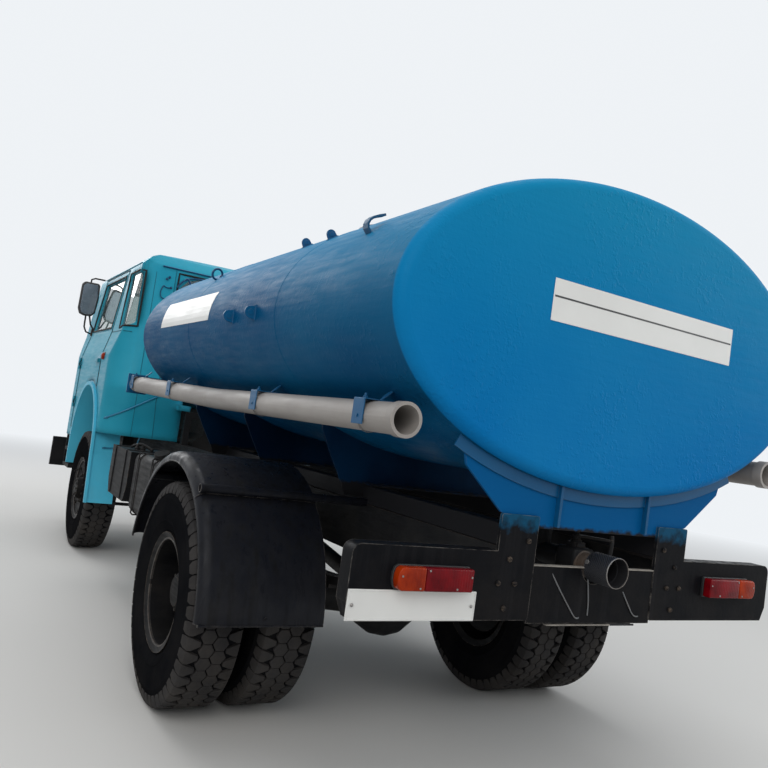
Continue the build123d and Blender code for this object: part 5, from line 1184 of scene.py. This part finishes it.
def skinned(node_name, body, made, corner=0.0, edge=0.0):
    """A copy of a sheet metal node, merged, its plan corners rolled and its edges eased."""
    only(nodes[node_name])
    bpy.ops.object.duplicate(linked=False)
    piece = bpy.context.object
    piece.name = node_name + "_skin"
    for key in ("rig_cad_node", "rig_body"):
        if key in piece:
            del piece[key]
    piece.parent = None
    edit_all(piece)
    bpy.ops.mesh.remove_doubles(threshold=FINE_WELD)
    bpy.ops.mesh.dissolve_limited(angle_limit=radians(0.4))
    leave()
    if corner:
        edit(piece)
        bpy.ops.mesh.select_all(action="DESELECT")
        leave()
        faces_of = {}
        for face in piece.data.polygons:
            for key in face.edge_keys:
                faces_of.setdefault(key, []).append(face)
        for item in piece.data.edges:
            pair = faces_of.get(item.key, [])
            if len(pair) != 2:
                continue
            first, second = (piece.data.vertices[index].co for index in item.vertices)
            middle = (first + second) / 2
            one, other = (face.normal for face in pair)
            level = abs(first.z - second.z) < 0.3 * (first - second).length
            out = Vector((middle.x - CAB_MIDDLE_X, middle.y, 0))
            if radians(12) < one.angle(other) < radians(60) and not level and one.dot(out) > 0 < other.dot(out):
                item.select = True
                for index in item.vertices:
                    piece.data.vertices[index].select = True
        edit(piece, "EDGE")
        bpy.ops.mesh.bevel(offset=corner, segments=5, affect="EDGES", clamp_overlap=True)
        leave()
    if edge:
        bevel(piece, edge, 2, 50)
    smooth(piece, 38)
    even = piece.modifiers.new("even", "WEIGHTED_NORMAL")
    even.keep_sharp = True
    apply_mods(piece)
    return fit_out(piece, body, made, node_name)


cab_skin = skinned("cab_shell", "cab", cab_paint, corner=0.055)
door_skins = {side: skinned("door_" + side, "door_" + side, cab_paint, edge=0.003)
              for side, way in SIDES}


def cast_on(target, start, way, out):
    """The point of a piece's skin that a ray meets, lifted along the skin's normal."""
    way = Vector(way)
    hit, place, normal, index = target.ray_cast(Vector(start), way)
    if not hit:
        return None
    if normal.dot(way) > 0:
        normal = -normal
    return place + normal * out


def filled(points, step=0.05, closed=True):
    """An outline's points with more added along its sides."""
    made = []
    ends = list(points) + ([points[0]] if closed else [])
    for first, second in zip(ends, ends[1:]):
        first, second = Vector(first), Vector(second)
        count = max(1, round((second - first).length / step))
        made += [first.lerp(second, index / count) for index in range(count)]
    return made + [Vector(ends[-1])]


def skin_line(name, target, points, way, out, radius, sides=8):
    """A round line that lies on a piece's skin under a row of points."""
    found = [cast_on(target, point, way, out) for point in points]
    return rod(name, [point for point in found if point is not None], radius, sides)


def seen_line(name, target, view, way, points, out, radius, sides=8):
    """A skin line under flat points: x and z seen from a side, or y and z seen from the back or the front."""
    if view == "side":
        return skin_line(name, target, [(x, way * CAST_Y, z) for x, z in points], (0, -way, 0), out, radius, sides)
    far, aim = (CAST_BACK_X, 1) if view == "back" else (CAST_FRONT_X, -1)
    return skin_line(name, target, [(far, way * y, z) for y, z in points], (aim, 0, 0), out, radius, sides)


def grown(points, by):
    """A flat outline of pairs pushed out from its middle along both axes."""
    middle = [sum(point[axis] for point in points) / len(points) for axis in (0, 1)]
    return [tuple(value + (by if value > centre else -by) for value, centre in zip(point, middle)) for point in points]


DOOR_WINDOW = ((1.861, 2.040), (1.861, 2.518), (2.806, 2.518), (2.806, 2.040))
QUARTER_WINDOW = ((1.304, 2.050), (1.304, 2.524), (1.672, 2.524), (1.482, 2.022))
BACK_WINDOW = ((0.150, 2.050), (0.150, 2.557), (0.640, 2.557), (0.640, 2.050))
FRONT_WINDOW = ((0.022, 1.990), (0.022, 2.530), (0.850, 2.530), (0.900, 1.990))
DOOR_EDGE = ((1.797, 1.482), (1.797, 2.578), (2.874, 2.578), (2.874, 1.052), (2.704, 1.052))

for side, way in SIDES:
    door = door_skins[side]
    # Window rubbers, the pressed strip round the door's glass, and the door's own seal, a black line that is partly the
    # seal and partly painted shade in the door's gap
    for label, target, view, points, out, radius, sides, body, slot, made in (
            ("door_window_rubber_", door, "side", filled(grown(DOOR_WINDOW, 0.008)), 0.001, 0.0085, 12,
             "door_" + side, "trim_black", soft_rubber),
            ("door_window_strip_", door, "side", filled(grown(DOOR_WINDOW, 0.022)), 0.0, 0.004, 8,
             "door_" + side, "cab_teal", cab_paint),
            ("door_seal_", door, "side", filled(DOOR_EDGE, 0.05, False), -0.001, 0.0042, 8,
             "door_" + side, "trim_black", soft_rubber),
            ("quarter_rubber_", cab_skin, "side", filled(grown(QUARTER_WINDOW, 0.008), 0.03), 0.001, 0.0085, 12,
             "cab", "trim_black", soft_rubber),
            ("back_window_rubber_", cab_skin, "back", filled(grown(BACK_WINDOW, 0.008)), 0.001, 0.0085, 12,
             "cab", "trim_black", soft_rubber),
            ("screen_rubber_", cab_skin, "front", filled(grown(FRONT_WINDOW, 0.009)), 0.001, 0.0095, 12,
             "cab", "trim_black", soft_rubber)):
        fit_out(seen_line(label + side, target, view, way, [point[:2] for point in points], out, radius, sides),
                body, made)
    # Drip rail over the windows, a pressed line round the corner at the belt, and two seams on the back
    back_seam = filled(((0.675, 2.590), (0.676, 1.420), (0.668, 1.280), (0.660, 1.100)), 0.08, False)
    cab_lines = [seen_line(label + side, cab_skin, view, way, points, out, radius)
                 for label, view, points, out, radius in (
                     ("drip_rail_", "side", [(1.36 + 0.05 * step, 2.600) for step in range(34)], 0.004, 0.0065),
                     ("belt_line_", "side", [(1.31 + 0.04 * step, 1.988) for step in range(12)], 0.0, 0.0055),
                     ("back_seam_", "back", back_seam, 0.0005, 0.0035),
                     ("corner_seam_", "back", [(0.845, 1.10 + 0.08 * step) for step in range(19)], 0.0, 0.0028))]
    fit_out(joined("cab_lines_" + side, cab_lines), "cab", cab_seam)

# Things on the back of the cab: loop, bolts, bent pipe, top rail and stays
BACK_X = 1.276
left_back = [
    rod("back_loop", [(BACK_X, y, z) for y, z in ((0.700, 2.425), (0.747, 2.415), (0.772, 2.440), (0.792, 2.376),
                                                  (0.780, 2.318), (0.735, 2.318))], 0.0045, 8, True),
    rod("bent_pipe", [(BACK_X, y, z) for y, z in ((0.655, 2.440), (0.630, 2.480), (0.602, 2.512), (0.544, 2.543),
                                                  (0.445, 2.556), (0.380, 2.556))], 0.0075, 10, True),
    rod("top_rail", [(BACK_X - 0.002, y, 2.600) for y in (0.800, 0.400, 0.0)], 0.0065, 8)]
left_back += [bolt_head("back_bolt", (BACK_X + 0.002, y, z), (-1, 0, 0), 0.012, 0.009, 0.006)
              for y, z in ((0.731, 2.513), (0.751, 2.495), (0.735, 2.318), (0.706, 2.425))]
stay_line = [(0.668 + 0.0326 * step, 1.468 - 0.0206 * step) for step in range(13)]
left_stays = [seen_line("cab_stay_high", cab_skin, "back", 1, stay_line, 0.007, 0.0075, 10),
              rod("cab_stay_low", [(1.478, 1.021, 0.958), (1.478, 0.790, 0.974), (1.470, 0.752, 0.985),
                                   (1.440, 0.735, 1.040), (1.420, 0.730, 1.120)], 0.0065, 10, True)]
feet = [cast_on(cab_skin, (CAST_BACK_X, y, z), (1, 0, 0), -0.001) for y, z in ((1.045, 1.230), (0.680, 1.460))]
left_stays += [bolt_head("stay_foot", foot, (-1, 0, 0), 0.013, 0.014) for foot in feet]
left_stays += [bolt_head("stay_foot", (1.486, y, 0.960), (-1, 0, 0), 0.011, 0.012) for y in (1.000, 0.910)]
for parts, label, made in ((left_back, "back_trim", dark_blue_paint), (left_stays, "cab_stays", blue_trim)):
    both_sides(joined(label, parts), "cab", made)

# Side repeater lamps, mirrors and their arms


def lamp_dome(name, centre, way, radius, tall, lens_made, base_made, body):
    """A round marker lamp on a rubber base, standing out along a way."""
    way = Vector(way)
    across = Vector((1, 0, 0)) if abs(way.x) < 0.5 else Vector((0, 1, 0))
    for part, profile, made in (
            ("base", ((0.0, 0.0), (0.0, 1.15), (0.30, 1.15), (0.36, 1.0), (0.36, 0.0)), base_made),
            ("lens", ((0.34, 0.0), (0.34, 0.96), (0.72, 0.88), (0.93, 0.62), (1.0, 0.25), (1.0, 0.0)), lens_made)):
        points = [Vector(centre) + way * tall * up + across * radius * out for up, out in profile]
        piece = turned(name + "_" + part, points, centre, way, 28)
        smooth(piece, 40)
        fit_out(piece, body, made)


for side, way in SIDES:
    lamp_dome("repeater_" + side, (1.675, way * 1.084, 1.757), (0, way, 0), 0.034, 0.036, amber_lens, black_plastic,
              "cab")
    lamp_dome("front_marker_" + side, (3.424, way * 1.020, 0.835), (1, 0, 0), 0.036, 0.018, amber_lens, black_plastic,
              "chassis")

MIRROR = [(1.040, 2.545), (1.176, 2.545), (1.206, 2.515), (1.210, 2.260), (1.190, 2.205), (1.140, 2.190),
          (1.070, 2.195), (1.036, 2.235), (1.022, 2.380), (1.026, 2.520)]
housing = slab("mirror_housing", [(2.920, y, z) for y, z in MIRROR], (0.036, 0, 0), 0.014, 4)
pressed(housing, lambda centre, normal: normal.x < -0.95, (0.004, 0), (0.003, -0.003))
smooth(housing, 40)
centre_y = sum(y for y, z in MIRROR) / len(MIRROR)
centre_z = sum(z for y, z in MIRROR) / len(MIRROR)
glass = slab("mirror_pane", [(2.9245, centre_y + (y - centre_y) * 0.80, centre_z + (z - centre_z) * 0.89)
                             for y, z in MIRROR], (-0.003, 0, 0), 0.0012)
arms = [rod("mirror_arm", line, 0.0085, 12) for line in (
    [(2.945, 1.120, 2.205), (2.945, 1.118, 2.080), (2.940, 1.095, 2.030), (2.930, 1.036, 2.012)],
    [(2.945, 1.085, 2.205), (2.930, 1.062, 2.110), (2.900, 1.030, 2.060)],
    [(2.945, 1.120, 2.535), (2.945, 1.118, 2.575), (2.940, 1.085, 2.592), (2.930, 0.985, 2.592)])]
arms.append(block("mirror_foot", (2.895, 1.024, 1.992), (2.955, 1.046, 2.070), 0.006))
for piece, made in ((housing, black_plastic), (glass, mirror_glass), (joined("mirror_arms", arms), black_paint)):
    both_sides(piece, "cab", made, "mirrors")

# Windscreen wipers and front fittings
for side, way in SIDES:
    wiper = [seen_line(label, cab_skin, "front", way, points, out, radius) for label, points, out, radius in (
        ("wiper_blade", [(0.16 + 0.085 * step, 2.035 + 0.022 * step) for step in range(7)], 0.010, 0.005),
        ("wiper_arm", [(0.62 - 0.05 * step, 1.955 + 0.030 * step) for step in range(6)], 0.022, 0.0045))]
    fit_out(joined("wiper_" + side, wiper), "cab", black_plastic)
bumper_bolts = [bolt_head("front_bolt", (FRONT_BUMPER_X, y, z), (1, 0, 0), 0.012, 0.0048, 0.003)
                for y in (-0.560, -0.430, 0.430, 0.560) for z in (0.68, 0.82)]
fit_out(joined("front_bolts", bumper_bolts), "chassis", black_paint)

# ---- wheel nuts, hub bolts and lock rings

NUTS, HUB_BOLTS = 10, 8
LOCK_RING_TURN = radians(354)
VALVE_ANGLE = radians(40)


def wheel_details(name, x, face_y, nut_radius, hub_y, hub_radius, rim_y):
    """Nuts with studs on the disc, bolts on the hub's end, a split lock ring and a valve, for the left side."""
    centre = (x, 0, AXLE_Z)
    nuts = bolt_head(name + "_nuts", (x, face_y - 0.001, AXLE_Z + nut_radius), (0, 1, 0), 0.0175, 0.020, 0.014)
    around(nuts, NUTS, centre)
    washers = bolt_head(name + "_washers", (x, face_y - 0.002, AXLE_Z + nut_radius), (0, 1, 0), 0.0225, 0.005, sides=14)
    around(washers, NUTS, centre)
    bolts = bolt_head(name + "_hub_bolts", (x, hub_y - 0.002, AXLE_Z + hub_radius), (0, 1, 0), 0.0095, 0.009)
    around(bolts, HUB_BOLTS, centre)
    ring_profile = [(rim_y - 0.012, 0.2495), (rim_y - 0.006, 0.2475), (rim_y + 0.002, 0.2485), (rim_y + 0.004, 0.2560),
                    (rim_y - 0.002, 0.2620), (rim_y - 0.010, 0.2600)]
    ring = swept(name + "_ring", [(x + radius, y, AXLE_Z) for y, radius in ring_profile], centre, (0, 1, 0),
                 LOCK_RING_TURN, 70)
    smooth(ring, 40)
    stem = rod(name + "_valve", [(x + far * cos(VALVE_ANGLE), face_y + out, AXLE_Z + far * sin(VALVE_ANGLE))
                                 for far, out in ((0.238, 0.030), (0.225, 0.060), (0.200, 0.078))], 0.0045, 8, True)
    return joined(name, [nuts, washers, bolts, stem]), ring


for label, numbers in (("front", (FRONT_X, 1.018, 0.123, 1.091, 0.066, FRONT_WHEEL_Y + 0.108)),
                       ("rear", (REAR_X, 0.985, 0.139, 1.172, 0.088, REAR_OUTER_Y + 0.108))):
    details, ring = wheel_details(label + "_wheel_bolts", *numbers)
    ring.name = label + "_lock_ring"
    body = "front_wheel_{}" if label == "front" else "rear_wheels_{}"
    both_sides(details, body, cast_iron)
    both_sides(ring, body, lock_paint)

# ---- cab seats

CHANNEL_WIDTH = 0.075


def cushion(name, low, high, crown, channels, across):
    """A stuffed pad between two corners: crowned faces, pulled-in sides and sewn channels."""
    piece = block(name, low, high)
    edit_all(piece)
    bpy.ops.mesh.subdivide(number_cuts=27)
    leave()
    size = [b - a for a, b in zip(low, high)]
    thin = size.index(min(size))
    spread = [axis for axis in range(3) if axis != thin]
    for vert in piece.data.vertices:
        unit = [2 * (vert.co[axis] - low[axis]) / size[axis] - 1 for axis in range(3)]
        u, v = unit[spread[0]], unit[spread[1]]
        dome = (1 - abs(u) ** 3.2) * (1 - abs(v) ** 3.2)
        along = u if spread[0] == across else v
        sunk = max(0.0, 1 - min(abs(along - line) for line in channels) / CHANNEL_WIDTH) ** 2
        groove = sunk * (1 - (v if along is u else u) ** 8)
        lift = crown * dome * (1 - 0.55 * groove)
        vert.co[thin] += (lift - crown * 0.5) * unit[thin]
        pull = 1 - 0.035 * (1 - min(abs(u), abs(v)) ** 2) * max(abs(u), abs(v)) ** 6
        for axis in spread:
            middle = (low[axis] + high[axis]) / 2
            vert.co[axis] = middle + (vert.co[axis] - middle) * pull
    bevel(piece, 0.014, 3, 50)
    smooth(piece, 60)
    return piece


seat_base = cushion("seat_cushion", (-0.255, -0.240, -0.060), (0.245, 0.240, 0.060), 0.020, (-0.5, 0.0, 0.5), 0)
seat_back = cushion("seat_backrest", (-0.052, -0.235, -0.260), (0.052, 0.235, 0.260), 0.016, (-0.5, 0.0, 0.5), 2)
for piece, place, lean in ((seat_base, (2.272, 0.480, 1.640), -4), (seat_back, (1.975, 0.480, 1.965), -10)):
    piece.location = place
    piece.rotation_euler = (0, radians(lean), 0)
    settle(piece)
    for half in both_sides(piece, "cab", seat_cloth, "cab_seats"):
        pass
RAIL_YS = (0.300, 0.660)
left_frame = [rod("seat_rail", [(2.040, y, 1.545), (2.500, y, 1.545)], 0.013, 10) for y in RAIL_YS]
left_frame += [rod("seat_leg", [(x, y, 1.532), (x, y, 1.590)], 0.010, 10) for x in (2.08, 2.46) for y in RAIL_YS]
left_frame += [rod("seat_stile", [(2.050, y, 1.560), (1.985, y, 1.700), (1.940, y, 1.960)], 0.011, 10, True)
               for y in RAIL_YS]
both_sides(joined("seat_frame", left_frame), "cab", black_paint, "cab_seats")

# ---- straps and latches on the side boxes

straps = [rod("battery_strap", [(x, 0.660, 1.0535), (x, 1.074, 1.0535), (x, 1.0835, 1.044), (x, 1.0835, 0.700)],
              0.005, 8) for x in (0.235, 0.595)]
straps += [bolt_head("battery_knob", (x, y, 1.048), (0, 0, 1), 0.020, 0.024, 0.016, 8)
           for x, y in ((0.300, 0.955), (0.345, 0.985))]
straps.append(rod("battery_lever", [(0.235, 0.900, 1.062), (0.300, 0.950, 1.100), (0.365, 0.985, 1.092),
                                    (0.420, 1.010, 1.066)], 0.011, 10, True))
fit_out(joined("battery_straps", straps), "chassis", chassis_paint)
tank_bands = [rod("fuel_band", [(x, 0.600, 1.0625), (x, 1.052, 1.0625), (x, 1.0635, 1.050), (x, 1.0635, 0.650),
                                (x, 1.050, 0.6375), (x, 0.600, 0.6375)], 0.0055, 8) for x in (-0.470, -0.090)]
fit_out(joined("fuel_bands", tank_bands), "chassis", chassis_paint)

# ---- stage and light

clear()
bpy.ops.mesh.primitive_plane_add(size=60, location=(0, 0, 0))
floor = bpy.context.object
floor.name = "floor"
floor_tree = start("floor_pale")
floor_finish = finish("floor_pale", (0.62, 0.61, 0.59), 0.85, noise(floor_tree, object_place(floor_tree), 60.0),
                      0.05, 0.002)
floor.data.materials.append(floor_finish)
# Far from the truck the floor runs out into the pale background
BACKDROP = (0.86, 0.89, 0.92)
FADE_FROM, FADE_TO = 5.5, 17.0


def background_rays(tree):
    """One for the rays that show the pale background: camera, glass and glossy rays."""
    ray = node(tree, "LightPath")
    seen = maths(tree, "MAXIMUM", ray.outputs["Is Camera Ray"], ray.outputs["Is Transmission Ray"])
    return maths(tree, "MAXIMUM", seen, ray.outputs["Is Glossy Ray"])


def mixed(tree, mask, first, second, end):
    """Mixes two shaders by a mask into a tree's end."""
    mix = node(tree, "MixShader")
    for source, socket in zip((mask, first.outputs[0], second.outputs[0]), mix.inputs):
        tree.links.new(source, socket)
    tree.links.new(mix.outputs[0], tree.nodes[end].inputs[0])


reach = node(floor_tree, "VectorMath", operation="LENGTH")
floor_tree.links.new(object_place(floor_tree), reach.inputs[0])
far_off = product(floor_tree, between(floor_tree, reach.outputs["Value"], FADE_FROM, FADE_TO),
                  background_rays(floor_tree))
glow = node(floor_tree, "Emission")
put_all(floor_tree, glow, {"Color": BACKDROP})
mixed(floor_tree, far_off, floor_tree.nodes["Principled BSDF"], glow, "Material Output")


def lamp(name, place, target, size, power, colour=(1, 1, 1)):
    data = bpy.data.lights.new(name, "AREA")
    data.shape = "RECTANGLE"
    data.size, data.size_y = size
    data.energy = power
    data.color = colour
    made = bpy.data.objects.new(name, data)
    bpy.context.scene.collection.objects.link(made)
    made.location = place
    made.rotation_euler = (Vector(target) - Vector(place)).to_track_quat("-Z", "Y").to_euler()


lamp("key_light", (-9, 6, 7), (-1, 0, 1.2), (9, 7), 470, (1.0, 0.98, 0.95))
lamp("fill_light", (-6, -8, 5), (0, 0, 1.2), (8, 6), 240, (0.95, 0.98, 1.0))
lamp("front_light", (9, 3, 6), (1, 0, 1.4), (6, 5), 260)
lamp("top_light", (0, 0, 9), (0, 0, 0), (10, 6), 330)

world = bpy.data.worlds.new("studio")
bpy.context.scene.world = world
world.use_nodes = True
sky = world.node_tree
background = sky.nodes["Background"]
put_all(sky, background, {"Color": (0.80, 0.84, 0.88), "Strength": 0.50})
bright = node(sky, "Background")
put_all(sky, bright, {"Color": BACKDROP, "Strength": 1.0})
mixed(sky, background_rays(sky), background, bright, "World Output")

bpy.context.scene.view_settings.view_transform = "Standard"
